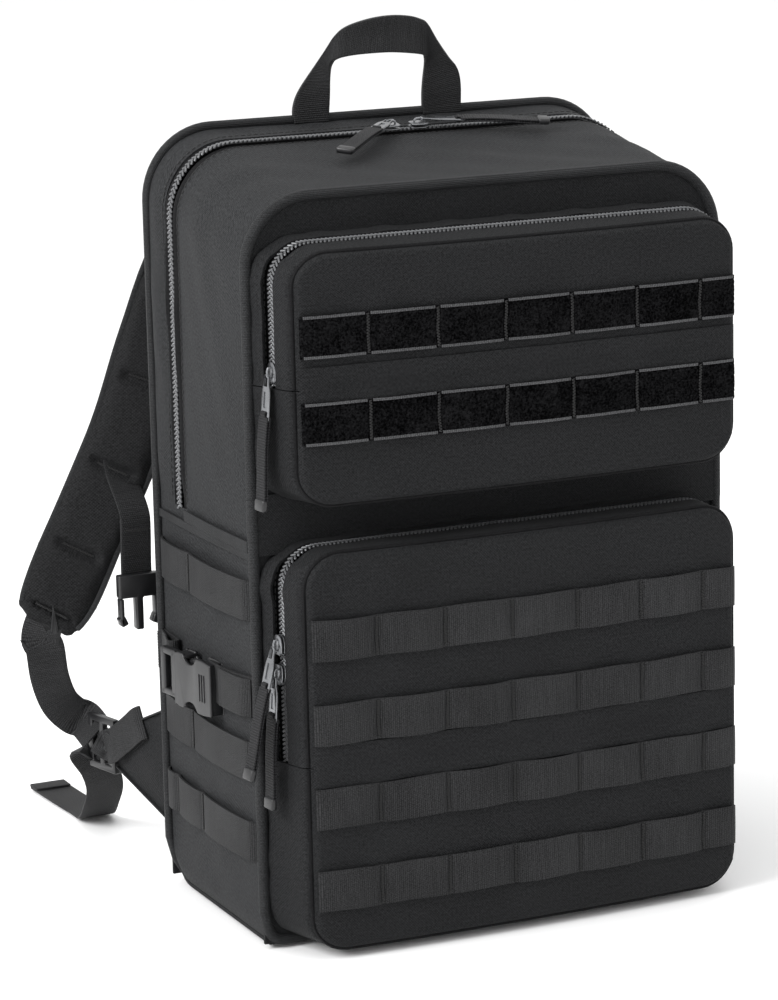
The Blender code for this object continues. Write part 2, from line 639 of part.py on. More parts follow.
def build_lock(side, flip):
    """Ladder lock: a frame with a middle bar, hinged in the loop at the wing's tip."""
    top, along, across, back = lock_frame()
    slot = (LOCK_LENGTH - 3 * LOCK_BAR) / 2
    inner = LOCK_WIDTH / 2 - LOCK_BAR
    outer = LOCK_WIDTH / 2
    levels = [0, LOCK_BAR, LOCK_BAR + slot, 2 * LOCK_BAR + slot, 2 * LOCK_BAR + 2 * slot, LOCK_LENGTH]
    columns = [-outer, -inner, inner, outer]
    points = [top + along * level + across * column + back * face
              for face in (-LOCK_THICKNESS / 2, LOCK_THICKNESS / 2) for level in levels for column in columns]
    faces, rows, cols = [], len(levels) - 1, len(columns) - 1
    solid = [[not (r in (1, 3) and c == 1) for c in range(cols)] for r in range(rows)]

    def index(layer, r, c):
        return (layer * len(levels) + r) * len(columns) + c

    for r in range(rows):
        for c in range(cols):
            if not solid[r][c]:
                continue
            for layer in (0, 1):
                faces.append((index(layer, r, c), index(layer, r, c + 1),
                              index(layer, r + 1, c + 1), index(layer, r + 1, c)))
            around = (((r - 1, c), (r, c), (r, c + 1)), ((r + 1, c), (r + 1, c), (r + 1, c + 1)),
                      ((r, c - 1), (r, c), (r + 1, c)), ((r, c + 1), (r, c + 1), (r + 1, c + 1)))
            for (nr, nc), a, b in around:
                if not (0 <= nr < rows and 0 <= nc < cols and solid[nr][nc]):
                    faces.append((index(0, *a), index(0, *b), index(1, *b), index(1, *a)))
    add_mesh("ladder_lock_" + side, "buckle_plastic", flip(points), faces, flip([top])[0])


def strap_along(name, route, width_vectors, flip, origin, steps=3):
    """Webbing through the route's points; its width follows the given directions."""
    points = smooth_path(route, steps)
    widths = smooth_path(width_vectors, steps)
    normals = []
    for i, point in enumerate(points):
        along = (points[min(i + 1, len(points) - 1)] - points[max(i - 1, 0)]).normalized()
        widths[i] = (widths[i] - along * widths[i].dot(along)).normalized() * STRAP_WEBBING / 2
        normals.append(along.cross(widths[i]).normalized())
    return add_strip(name, "webbing", flip(points), flip(widths), flip(normals), WEBBING_THICKNESS, origin)


def build_tail(side, flip):
    """Free end of the lower webbing, from the ladder lock down to the floor and back along it."""
    top, along, across, _ = lock_frame()
    end = top + along * (LOCK_LENGTH + TAIL_CLEARANCE)
    route = [(end.x - out, end.y + back, end.z * share) for out, back, share in TAIL_ROUTE]
    lying = Vector((1, 0, 0))
    widths = [across * 0.55 + lying * 0.8, across * 0.2 + lying] + [lying] * (len(TAIL_ROUTE) - 2)
    strap_along("strap_tail_" + side, route, widths, flip, flip([end])[0])


def build_lower_strap(side, flip, pivot):
    """Webbing from the pad's tip to the ladder lock; it swings with the pad."""
    tip, across, _, _ = pad_frames()[-1]
    start = tip + (tip - pad_frames()[-2][0]).normalized() * PAD_TO_STRAP
    top, along, upright, _ = lock_frame()
    end = top + along * (LOCK_LENGTH + TAIL_CLEARANCE) + upright * (LOCK_WIDTH / 3)
    route = [start]
    for share, bow_back, bow_down in LOWER_STRAP_BOW:
        route.append(start.lerp(end, share) + Vector((0, bow_back, -bow_down)))
    route.append(end)
    widths = [across.lerp(-upright - Vector((0.9, 0, 0)), i / (len(route) - 1)) for i in range(len(route))]
    route.insert(1, start + (tip - pad_frames()[-2][0]).normalized() * PAD_TO_STRAP)
    widths.insert(1, across)
    strap_along("lower_strap_" + side, route, widths, flip, pivot)


def build_wing(side, flip):
    """Sewn triangle that stands back from the lower back corner and holds the ladder lock."""
    seam_y, tip_y = BACK_Y + WEBBING_THICKNESS, BACK_Y + WING_REACH
    outline = [(seam_y, WING_SEAM_TOP), (tip_y, WING_HEIGHT + WING_TIP_HALF),
               (tip_y, WING_HEIGHT - WING_TIP_HALF), (seam_y, WING_SEAM_BOTTOM)]
    vertices = [(wing_x(y) + inwards, y, z) for inwards in (0, FABRIC) for y, z in outline]
    tip = (wing_x(tip_y), tip_y, WING_HEIGHT)
    add_mesh("strap_wing_" + side, "pack_fabric", flip(vertices), sweep_faces(2, 4), flip([tip])[0])


def build_chest(side, sign, flip):
    """Half of the chest strap, hanging from the pad, with its half of the side-release buckle."""
    x, y = -STRAP_ANCHOR_X - CHEST_FROM_ANCHOR, BACK_Y + CHEST_FROM_BACK
    top = BACK_HEIGHT * CHEST_HEIGHT_SHARE
    pivot = flip([(x, y, top)])[0]
    path = [(x, y, top), (x, y, top - CHEST_LENGTH)]
    widths = [(CHEST_WEBBING / 2, 0, 0)] * 2
    add_strip("chest_strap_" + side, "webbing", flip(path), flip(widths), [(0, -1, 0)] * 2,
              WEBBING_THICKNESS, pivot)
    low = top - CHEST_LENGTH - GAP
    middle_y = y - WEBBING_THICKNESS / 2
    if sign < 0:
        build_chest_plug(x, middle_y, low, pivot)
    else:
        build_chest_socket(-x, middle_y, low, pivot)


def build_chest_plug(x, y, top, pivot):
    half, thick = CHEST_PLUG_WIDTH / 2, CHEST_PLUG_THICKNESS / 2
    shoulder = top - CHEST_PLUG_LENGTH
    plug = add_box("chest_plug", "buckle_plastic", (x - half, y - thick, shoulder),
                   (x + half, y + thick, top), pivot)
    guide = helper_box("chest_plug_guide", (x - 0.0025, y - thick, shoulder - CHEST_PRONG_LENGTH - 0.002),
                       (x + 0.0025, y + thick, top - CHEST_PLUG_LENGTH / 2))
    boolean(plug, guide, "UNION")
    for label, s in (("inner", 1), ("outer", -1)):
        root_x = x + s * (half - CHEST_PRONG_WIDTH / 2 - GAP)
        add_box("chest_prong_" + label, "buckle_plastic",
                (root_x - CHEST_PRONG_WIDTH / 2, y - thick, shoulder - CHEST_PRONG_LENGTH),
                (root_x + CHEST_PRONG_WIDTH / 2, y + thick, shoulder - GAP), (root_x, y, shoulder))


def build_chest_socket(x, y, top, pivot):
    half, thick = CHEST_SOCKET_WIDTH / 2, CHEST_SOCKET_THICKNESS / 2
    windows = [((x + s * half - 0.003, y - thick - GAP, top - CHEST_SOCKET_LENGTH * 0.66),
                (x + s * half + 0.003, y + thick + GAP, top - CHEST_SOCKET_LENGTH * 0.33)) for s in (-1, 1)]
    add_window_box("chest_socket", "buckle_plastic", (x - half, y - thick, top - CHEST_SOCKET_LENGTH),
                   (x + half, y + thick, top), BUCKLE_WALL * 0.8, 2, windows, pivot)


def main():
    for old in list(bpy.data.objects):
        bpy.data.objects.remove(old, do_unlink=True)
    build_compartment()
    build_lid()
    build_pocket("lower", LOWER_POCKET_WIDTH, LOWER_POCKET_BOTTOM, LOWER_POCKET_TOP, LOWER_POCKET_DEPTH,
                 LOWER_FOLD_HEIGHT)
    build_pocket("upper", UPPER_POCKET_WIDTH, UPPER_POCKET_BOTTOM, UPPER_POCKET_TOP, UPPER_POCKET_DEPTH,
                 UPPER_FOLD_HEIGHT)
    build_rows()
    build_zip_hardware()
    build_handle()
    for side, sign in (("left", -1), ("right", 1)):
        build_compression(side, sign)
        build_shoulder(side, sign)


main()
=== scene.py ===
import contextlib
import json
import math
import random

import bpy
from mathutils import Matrix, Vector

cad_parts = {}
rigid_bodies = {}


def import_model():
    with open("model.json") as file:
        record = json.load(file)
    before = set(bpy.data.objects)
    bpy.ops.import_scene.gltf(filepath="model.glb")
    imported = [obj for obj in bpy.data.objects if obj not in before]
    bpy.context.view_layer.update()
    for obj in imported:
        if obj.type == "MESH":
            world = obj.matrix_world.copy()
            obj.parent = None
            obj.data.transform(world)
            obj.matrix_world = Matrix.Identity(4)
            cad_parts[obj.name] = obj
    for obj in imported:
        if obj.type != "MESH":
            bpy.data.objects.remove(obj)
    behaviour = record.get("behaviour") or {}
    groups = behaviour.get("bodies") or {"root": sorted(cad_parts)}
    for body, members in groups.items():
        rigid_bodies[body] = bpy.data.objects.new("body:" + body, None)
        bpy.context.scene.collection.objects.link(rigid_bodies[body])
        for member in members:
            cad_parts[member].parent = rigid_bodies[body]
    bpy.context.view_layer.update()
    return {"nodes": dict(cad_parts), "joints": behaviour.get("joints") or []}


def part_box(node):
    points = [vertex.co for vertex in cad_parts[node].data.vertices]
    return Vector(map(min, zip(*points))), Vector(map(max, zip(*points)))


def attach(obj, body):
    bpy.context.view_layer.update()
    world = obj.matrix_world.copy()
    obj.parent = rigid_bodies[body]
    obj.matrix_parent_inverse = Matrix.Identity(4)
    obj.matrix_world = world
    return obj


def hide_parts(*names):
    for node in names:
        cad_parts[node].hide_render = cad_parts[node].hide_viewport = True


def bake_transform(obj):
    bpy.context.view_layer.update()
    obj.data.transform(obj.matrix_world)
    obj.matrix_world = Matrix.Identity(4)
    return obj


for old in list(bpy.data.objects):
    bpy.data.objects.remove(old, do_unlink=True)
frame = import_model()

# sizes of the pack in metres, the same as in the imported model
pack = dict(half=0.156, front=-0.075, back=0.075, depth=0.150, frontTop=0.452, backTop=0.476, corner=0.042,
            fold=0.250, zipY=0.037, baseCorner=0.016, backRound=0.020)
pocketShape = dict(crown=0.0045, taper=0.004, shift=0.0050, radius=0.022)
pocketLower = dict(pocketShape, name="lower", half=0.1425, depth=0.042, sink=0.0, low=0.0045, high=0.246,
                   fold=0.118, baseBody="root", flapBody="lower_flap", waves=1.3, ripples=2.9)
pocketUpper = dict(pocketShape, name="upper", half=0.1440, depth=0.040, sink=0.0045, low=0.274, high=0.426,
                   fold=0.343, baseBody="lid", flapBody="upper_flap", waves=6.7, ripples=8.3)
bothWays = (("left", -1), ("right", 1))


# small helpers

def deselectAll():
    if bpy.context.mode != "OBJECT":
        bpy.ops.object.mode_set(mode="OBJECT")
    bpy.ops.object.select_all(action="DESELECT")


def choose(piece):
    deselectAll()
    piece.select_set(True)
    bpy.context.view_layer.objects.active = piece


def useModifier(piece, kind, **settings):
    choose(piece)
    modifier = piece.modifiers.new(kind.lower(), kind)
    for key, value in settings.items():
        setattr(modifier, key, value)
    bpy.ops.object.modifier_apply(modifier=modifier.name)


def settle(piece):  # place goes into the mesh
    choose(piece)
    bpy.ops.object.transform_apply(location=True, rotation=True, scale=True)


def smooth(piece, degrees=40):
    choose(piece)
    bpy.ops.object.shade_smooth_by_angle(angle=math.radians(degrees))


@contextlib.contextmanager
def editing(piece):  # edit mode, with the whole mesh selected at first
    choose(piece)
    bpy.ops.object.mode_set(mode="EDIT")
    bpy.ops.mesh.select_all(action="SELECT")
    yield
    bpy.ops.object.mode_set(mode="OBJECT")


def boxUv(piece):  # lays the weave on each face from the side it looks to, in metres
    with editing(piece):
        bpy.ops.uv.cube_project(cube_size=1.0, correct_aspect=False, clip_to_bounds=False, scale_to_bounds=False)


def clean(piece, merge=1e-6):
    with editing(piece):
        bpy.ops.mesh.remove_doubles(threshold=merge)
        bpy.ops.mesh.normals_make_consistent(inside=False)


def thicken(piece, thickness, offset=0.0):
    useModifier(piece, "SOLIDIFY", thickness=thickness, offset=offset)


def roundEdges(piece, width, segments=2, degrees=50):
    useModifier(piece, "BEVEL", width=width, segments=segments, limit_method="ANGLE",
                angle_limit=math.radians(degrees))


def finishPiece(piece, name, material, body, stands=(), angle=40):  # look, body and replaced nodes
    piece.name = name
    piece.data.name = name
    piece.data.materials.clear()
    piece.data.materials.append(material)
    smooth(piece, angle)
    if body:
        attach(piece, body)
    if stands:
        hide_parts(*stands)
    return piece


def formGrid(across, along, place):  # a grid primitive, each point put in its place
    deselectAll()
    bpy.ops.mesh.primitive_grid_add(x_subdivisions=across, y_subdivisions=along, size=2)
    sheet = bpy.context.object
    for vertex in sheet.data.vertices:
        vertex.co = Vector(place((vertex.co.x + 1) / 2, (vertex.co.y + 1) / 2))
    return sheet


def joinAll(pieces):
    deselectAll()
    for piece in pieces:
        piece.select_set(True)
    bpy.context.view_layer.objects.active = pieces[0]
    if len(pieces) > 1:
        bpy.ops.object.join()
    return pieces[0]


def copyOf(piece):
    twin = piece.copy()
    twin.data = piece.data.copy()
    bpy.context.scene.collection.objects.link(twin)
    return twin


def mirrorCopy(piece):
    twin = copyOf(piece)
    twin.parent = None
    for vertex in twin.data.vertices:
        vertex.co.x = -vertex.co.x
    with editing(twin):
        bpy.ops.mesh.flip_normals()
    return twin


def softWave(a, b, seed, size):  # slow uneven waves in the cloth, from -1 to 1
    return (math.sin(a / size * 1.7 + seed) * math.cos(b / size * 1.3 + seed * 2.1)
            + 0.6 * math.sin(a / size * 3.1 - b / size * 2.3 + seed * 0.7)
            + 0.35 * math.sin(a / size * 6.1 + b / size * 5.3 + seed * 1.9)) / 1.95


def ease(value, low, high):
    t = min(1.0, max(0.0, (value - low) / (high - low)))
    return t * t * (3 - 2 * t)


def curvePoints(points, steps):  # a smooth line through the points
    points = [Vector(p) for p in points]
    ends = [2 * points[0] - points[1]] + points + [2 * points[-1] - points[-2]]
    line = []
    for i in range(1, len(ends) - 2):
        a, b, c, d = ends[i - 1:i + 3]
        for step in range(steps):
            t = step / steps
            line.append(0.5 * (2 * b + (c - a) * t + (2 * a - 5 * b + 4 * c - d) * t * t
                               + (3 * b - a - 3 * c + d) * t ** 3))
    line.append(points[-1])
    return line


def tube(points, radius, closed=False, sides=6):  # a round cord along the points, as a mesh
    deselectAll()
    bpy.ops.curve.primitive_nurbs_path_add()
    cord = bpy.context.object
    cord.data.splines.clear()
    spline = cord.data.splines.new("POLY")
    spline.points.add(len(points) - 1)
    for point, place in zip(spline.points, points):
        point.co = (*place, 1)
    spline.use_cyclic_u = closed
    cord.data.dimensions = "3D"
    cord.data.bevel_depth = radius
    cord.data.bevel_resolution = max(0, sides // 2 - 2)
    cord.data.use_fill_caps = True
    choose(cord)
    bpy.ops.object.convert(target="MESH")
    return bpy.context.object


def cordPiece(points, radius, name, body, material, closed=False, sides=10):
    cord = tube(points, radius, closed, sides)
    boxUv(cord)
    return finishPiece(cord, name, material, body, angle=60)


def lineOf(count, place):  # points at even shares of a line, from 0 to 1
    return [Vector(place(i / (count - 1))) for i in range(count)]


def runLengths(points):  # how far each point is along its line
    lengths = [0.0]
    for a, b in zip(points, points[1:]):
        lengths.append(lengths[-1] + (b - a).length)
    return lengths


def placeUv(sheet, place):  # the grid's own uv, from 0 to 1, in metres of webbing
    for corner in sheet.data.uv_layers.active.data:
        corner.uv = place(*corner.uv)


def everyPoint(way, points):  # the same way at each point, unless there is a list of ways already
    return way if isinstance(way, list) else [way] * len(points)


def pathFrames(points, sideways):  # each point with its way along, its width and its face direction
    frames = []
    for i, point in enumerate(points):
        along = (points[min(i + 1, len(points) - 1)] - points[max(i - 1, 0)]).normalized()
        width = Vector(sideways[i])
        width = (width - along * width.dot(along)).normalized()
        frames.append((point, along, width, along.cross(width).normalized()))
    return frames


def ribbon(points, sideways, width, thickness, cup=0.0):  # flat webbing along a line
    frames, lengths, last = pathFrames(points, everyPoint(sideways, points)), runLengths(points), len(points) - 1
    stripsAcross = 8

    def place(u, v):
        point, _, side, face = frames[round(v * last)]
        return point + side * ((u - 0.5) * width) + face * cup * (1 - (2 * u - 1) ** 2)

    sheet = formGrid(stripsAcross, last, place)
    placeUv(sheet, lambda u, v: (u * width, lengths[round(v * last)]))
    useModifier(sheet, "SOLIDIFY", thickness=thickness, offset=0.0, use_even_offset=True)
    roundEdges(sheet, thickness * 0.35)
    return sheet


# shader helpers

class Wire:  # wraps one socket so that sums on it add Math nodes
    def __init__(self, tree, socket):
        self.tree, self.socket = tree, socket

    def mix(self, kind, other, swapped=False):
        node = self.tree.nodes.new("ShaderNodeMath")
        node.operation = kind
        first, second = (other, self) if swapped else (self, other)
        for index, value in enumerate((first, second)):
            if isinstance(value, Wire):
                self.tree.links.new(value.socket, node.inputs[index])
            elif value is not None:
                node.inputs[index].default_value = value
        return Wire(self.tree, node.outputs[0])

    def __add__(self, other):
        return self.mix("ADD", other)

    def __radd__(self, other):
        return self.mix("ADD", other)

    def __sub__(self, other):
        return self.mix("SUBTRACT", other)

    def __rsub__(self, other):
        return self.mix("SUBTRACT", other, True)

    def __mul__(self, other):
        return self.mix("MULTIPLY", other)

    def __rmul__(self, other):
        return self.mix("MULTIPLY", other)

    def __abs__(self):
        return self.mix("ABSOLUTE", None)

    def sine(self):
        return self.mix("SINE", None)

    def largest(self, other):
        return self.mix("MAXIMUM", other)

    def least(self, other):
        return self.mix("MINIMUM", other)


class Finish:  # one material under construction
    def __init__(self, name, **shaderValues):
        self.material = bpy.data.materials.new(name)
        self.material.use_nodes = True
        self.tree = self.material.node_tree
        self.shader = self.tree.nodes["Principled BSDF"]
        for key, value in shaderValues.items():
            self.shader.inputs[key.replace("_", " ")].default_value = value

    def add(self, kind, **values):
        node = self.tree.nodes.new(kind)
        for key, value in values.items():
            if isinstance(value, Wire):
                self.tree.links.new(value.socket, node.inputs[key])
            elif isinstance(value, str):
                setattr(node, key, value)
            else:
                node.inputs[key].default_value = value
        return Wire(self.tree, node.outputs[0])

    def place(self, kind="Object"):
        node = self.tree.nodes.new("ShaderNodeTexCoord")
        return Wire(self.tree, node.outputs[kind])

    def parts(self, vector):
        node = self.tree.nodes.new("ShaderNodeSeparateXYZ")
        self.tree.links.new(vector.socket, node.inputs[0])
        return [Wire(self.tree, out) for out in node.outputs]

    def noise(self, vector, scale, detail=2.0, rough=0.5):
        return self.add("ShaderNodeTexNoise", Vector=vector, Scale=scale, Detail=detail, Roughness=rough)

    def blendColor(self, factor, first, second):
        node = self.tree.nodes.new("ShaderNodeMix")
        node.data_type = "RGBA"
        self.tree.links.new(factor.socket, node.inputs[0])
        for index, value in ((6, first), (7, second)):
            if isinstance(value, Wire):
                self.tree.links.new(value.socket, node.inputs[index])
            else:
                node.inputs[index].default_value = (*value, 1)
        return Wire(self.tree, node.outputs[2])

    def into(self, name, wire):
        self.tree.links.new(wire.socket, self.shader.inputs[name])

    def color(self, tone, dark, light):
        self.into("Base Color", self.blendColor(tone.largest(0.0).least(1.0), dark, light))

    def bump(self, height, strength, distance):
        self.into("Normal", self.add("ShaderNodeBump", Strength=strength, Distance=distance, Height=height))


def weaveFinish(name, dark, light, pitch, roughness, bumpSize, mottling=0.5):
    finish = Finish(name, Roughness=roughness, Specular_IOR_Level=0.11, Sheen_Weight=0.015, Sheen_Roughness=0.45)
    across, up, _ = finish.parts(finish.place("UV"))
    turn = math.pi / pitch
    overUnder = (across * turn).sine() * (up * turn).sine()  # plain weave, one thread over and one under
    threads = abs((across * turn).sine()).largest(abs((up * turn).sine()))
    speckle = finish.noise(finish.place("UV"), 0.55 / pitch, 3.0, 0.7)
    patches = finish.noise(finish.place("Object"), 14.0, 4.0, 0.6)
    tone = overUnder * 0.26 + (speckle - 0.5) * 2.3 + (patches - 0.5) * mottling + 0.45
    finish.color(tone, dark, light)
    finish.into("Roughness", roughness + (patches - 0.5) * 0.25)
    finish.bump(overUnder * 0.5 + threads * 0.4 + speckle * 0.9, 0.55, bumpSize)
    return finish.material


def webbingFinish(name, dark, light, ribPitch=0.00125, threadPitch=0.0007):
    finish = Finish(name, Roughness=0.62, Specular_IOR_Level=0.14, Sheen_Weight=0.015)
    across, along, _ = finish.parts(finish.place("UV"))
    rib = abs((along * (math.pi / ribPitch)).sine())
    thread = (across * (math.pi / threadPitch)).sine() * (along * (math.pi / ribPitch)).sine()
    speckle = finish.noise(finish.place("UV"), 900.0, 2.0, 0.7)
    patches = finish.noise(finish.place("Object"), 22.0, 3.0, 0.6)
    streaks = finish.noise(finish.add("ShaderNodeCombineXYZ", X=across * 40, Y=along * 700), 1.0, 2.0, 0.6)
    tone = rib * 0.40 + (speckle - 0.5) * 1.6 + (streaks - 0.5) * 0.55 + (patches - 0.5) * 0.5 + thread * 0.12 + 0.12
    finish.color(tone, dark, light)
    finish.into("Roughness", 0.58 + (speckle - 0.5) * 0.3)
    finish.bump(rib * 0.8 + thread * 0.25 + speckle * 0.35, 0.7, 0.0005)
    return finish.material


def pileFinish(name):
    finish = Finish(name, Roughness=0.95, Specular_IOR_Level=0.02, Sheen_Weight=0.0)
    place = finish.place("Object")
    cells = finish.add("ShaderNodeTexVoronoi", feature="F1", Vector=place, Scale=620.0, Randomness=1.0)
    loops = finish.noise(place, 640.0, 4.0, 0.85)
    patches = finish.noise(place, 55.0, 4.0, 0.7)
    tone = (loops - 0.5) * 3.4 + (patches - 0.5) * 1.2 + cells * 0.5 + 0.05
    finish.color(tone, (0.0004, 0.0004, 0.0005), (0.0150, 0.0150, 0.0160))
    finish.bump(loops * 1.2 + cells + patches * 0.8, 0.9, 0.0011)
    return finish.material


def meshPadFinish(name, dark, light, pitch):
    finish = Finish(name, Roughness=0.86, Specular_IOR_Level=0.25)
    place = finish.place("Object")
    cells = finish.add("ShaderNodeTexVoronoi", feature="DISTANCE_TO_EDGE", Vector=place, Scale=1 / pitch,
                       Randomness=0.25)
    walls = 1 - (cells * 5.0).least(1.0)
    patches = finish.noise(place, 25.0, 3.0, 0.6)
    tone = walls * 0.75 + (patches - 0.5) * 0.5 + 0.05
    finish.color(tone, dark, light)
    finish.bump(walls, 0.8, 0.0009)
    return finish.material


def plasticFinish(name, color, roughness, grain):
    finish = Finish(name, Roughness=roughness, Specular_IOR_Level=0.5)
    place = finish.place("Object")
    pits = finish.noise(place, 2600.0, 2.0, 0.6)
    smears = finish.noise(place, 60.0, 3.0, 0.6)
    wear = finish.noise(place, 260.0, 4.0, 0.75)
    tone = (smears - 0.4) * 1.1 + (wear - 0.5) * 0.7
    finish.color(tone, color, [c * 2.1 + 0.004 for c in color])
    finish.into("Roughness", roughness + (smears - 0.5) * 0.28 + (pits - 0.5) * 0.1)
    finish.bump(pits * 0.6 + wear * 0.3, grain, 0.00025)
    return finish.material


def metalFinish(name, color, roughness, metallic=1.0):
    finish = Finish(name, Roughness=roughness, Metallic=metallic)
    place = finish.place("Object")
    scratches = finish.noise(place, 700.0, 4.0, 0.8)
    stain = finish.noise(place, 120.0, 3.0, 0.6)
    tone = (stain - 0.45) * 1.4 + (scratches - 0.5) * 0.6
    finish.color(tone, color, [c * 0.5 for c in color])
    finish.into("Roughness", roughness + (scratches - 0.5) * 0.35)
    finish.bump(scratches, 0.25, 0.0002)
    return finish.material


def plainThread(name, color):
    finish = Finish(name, Roughness=0.6)
    place = finish.place("Object")
    twist = finish.noise(place, 1800.0, 2.0, 0.6)
    finish.into("Base Color", finish.blendColor(twist, [c * 0.6 for c in color], [c * 1.5 for c in color]))
    finish.bump(twist, 0.5, 0.0002)
    return finish.material


fabric = weaveFinish("packFabric", (0.0034, 0.0036, 0.0040), (0.0215, 0.022, 0.0232), 0.00085, 0.70, 0.00045)
# painted light: the cloth of the top and sides is the face fabric made lighter, for the key light falling more strongly
# on those surfaces
gussetFabric = weaveFinish("gussetFabric", (0.0062, 0.0065, 0.0070), (0.034, 0.035, 0.037), 0.00095, 0.70, 0.0005)
tapeFabric = weaveFinish("zipTape", (0.002, 0.002, 0.0022), (0.011, 0.011, 0.012), 0.0007, 0.8, 0.0003, 0.3)
webbing = webbingFinish("webbing", (0.0034, 0.0034, 0.0038), (0.040, 0.0405, 0.042))
binding = webbingFinish("edgeBinding", (0.0060, 0.0062, 0.0066), (0.036, 0.037, 0.039), 0.0010)
pile = pileFinish("loopPile")
paleEdge = webbingFinish("loopStripEdge", (0.020, 0.020, 0.021), (0.115, 0.116, 0.12), 0.0012)
padFabric = weaveFinish("padFabric", (0.0026, 0.0026, 0.0029), (0.0165, 0.0168, 0.0176), 0.0010, 0.7, 0.0005)
padMesh = meshPadFinish("padMesh", (0.002, 0.002, 0.0022), (0.024, 0.024, 0.026), 0.0034)
plastic = plasticFinish("bucklePlastic", (0.008, 0.008, 0.0088), 0.36, 0.25)
metal = metalFinish("pullMetal", (0.235, 0.24, 0.25), 0.30)
toothSilver = metalFinish("zipTeeth", (0.115, 0.117, 0.122), 0.36, 0.35)
thread = plainThread("thread", (0.0022, 0.0022, 0.0025))
tapeRib = webbingFinish("pullTape", (0.003, 0.003, 0.0034), (0.026, 0.026, 0.028), 0.0016)
print("materials made")


# camera, light and floor

cameraPlace = dict(location=(-0.9693, -2.0518, 0.7377), yaw=24.53, down=12.27, roll=-1.32, lens=134.8)
studio = dict(floorRadius=9, floorHeight=-0.0015, floorTone=0.95, world=1.04)
lamps = (("keyLight", (-2.7, -0.5, 2.1), (0, 0, 0.25), 1.6, 105),  # place, target, side in metres, power in watts
         ("topLight", (0.3, 0.5, 2.8), (0, 0, 0.2), 2.4, 15),
         ("fillLight", (1.9, -1.6, 1.2), (0, 0, 0.25), 2.0, 6))


def setCamera():
    yaw, pitch, roll = (math.radians(cameraPlace[key]) for key in ("yaw", "down", "roll"))
    ahead = Vector((math.sin(yaw) * math.cos(pitch), math.cos(yaw) * math.cos(pitch), -math.sin(pitch)))
    right = Vector((math.cos(yaw), -math.sin(yaw), 0))
    up = right.cross(ahead)
    right, up = right * math.cos(roll) + up * math.sin(roll), up * math.cos(roll) - right * math.sin(roll)
    bpy.ops.object.camera_add(location=cameraPlace["location"])
    camera = bpy.context.object
    camera.matrix_world = Matrix([(right[i], up[i], -ahead[i], cameraPlace["location"][i]) for i in range(3)]
                                 + [(0, 0, 0, 1)])
    camera.data.lens = cameraPlace["lens"]
    camera.data.clip_start, camera.data.clip_end = 0.05, 50
    bpy.context.scene.camera = camera


def softLight(name, place, target, size, power):
    bpy.ops.object.light_add(type="AREA", location=place)
    lamp = bpy.context.object
    lamp.name = name
    lamp.data.shape = "SQUARE"
    lamp.data.size = size
    lamp.data.energy = power
    lamp.rotation_euler = (Vector(target) - Vector(place)).to_track_quat("-Z", "Y").to_euler()


def setStage():
    bpy.ops.mesh.primitive_circle_add(vertices=96, radius=studio["floorRadius"], fill_type="NGON",
                                      location=(0, 0, studio["floorHeight"]))
    floor = bpy.context.object
    floor.name = "floor"
    floor.data.materials.append(Finish("paleFloor", Roughness=0.9, Base_Color=(*[studio["floorTone"]] * 3, 1),
                                       Specular_IOR_Level=0.1).material)
    for lamp in lamps:
        softLight(*lamp)
    world = bpy.context.scene.world or bpy.data.worlds.new("studio")
    bpy.context.scene.world = world
    world.use_nodes = True
    background = world.node_tree.nodes["Background"].inputs
    background["Color"].default_value = (1, 1, 1, 1)
    background["Strength"].default_value = studio["world"]
    bpy.context.scene.view_settings.view_transform = "Standard"


setCamera()
setStage()
print("camera and light set")


# compartment

shell = dict(thickness=0.0022, sideBulge=0.0030, topSag=0.0022, folds=0.0011, pipingRadius=0.0034, pipingIn=0.0012,
             faceIn=0.0008, zipGap=0.0095, tapeIn=0.0022, tapeOut=0.0102, tapeSunk=0.0012, stitchOut=0.0118,
             bindingRadius=0.0030, baseHeight=0.0012, baseTuck=0.006)
foldZone = dict(low=-0.009, high=0.027, inset=0.0035, forward=0.0016, bendTop=0.012, bendLow=-0.008)


def topHeight(y):
    return pack["frontTop"] + (pack["backTop"] - pack["frontTop"]) * (y - pack["front"]) / pack["depth"]


def outline(y, bottom, steps=14, rows=24):
    # left side, rounded top and right side seen from the front, as points with outward ways
    half, top, radius = pack["half"], topHeight(y), pack["corner"]
    rise, flat = top - radius - bottom, half - radius
    line = [((-half, bottom + rise * i / rows), (-1, 0)) for i in range(rows)]
    for i in range(steps):
        a = math.radians(90 * i / steps)
        way = (-math.cos(a), math.sin(a))
        line.append(((-flat + radius * way[0], top - radius + radius * way[1]), way))
    right = [((-x, z), (-outX, outZ)) for (x, z), (outX, outZ) in reversed(line)]
    line += [((-flat + 2 * flat * i / rows, top), (0, 1)) for i in range(rows + 1)]
    return line + right


def bodyBand(y0, y1, bottom, rows, seed, inward=0.0):  # the cloth round the top and sides between two depths
    count = len(outline(y0, bottom)) - 1

    def place(u, v):
        y = y0 + (y1 - y0) * v
        (x, z), (outX, outZ) = outline(y, bottom)[round(u * count)]
        across = math.sin(math.pi * v)
        alongTop = abs(outZ)
        bulge = shell["sideBulge"] * across * (1 - alongTop) * ease(z, bottom, bottom + 0.03)
        bulge -= shell["topSag"] * across * alongTop * (1 - (x / pack["half"]) ** 2)
        bulge += shell["folds"] * softWave(x + y, z - y, seed, 0.030) * across
        return x + outX * (bulge - inward), y, z + outZ * (bulge - inward)

    return formGrid(count, rows, place)


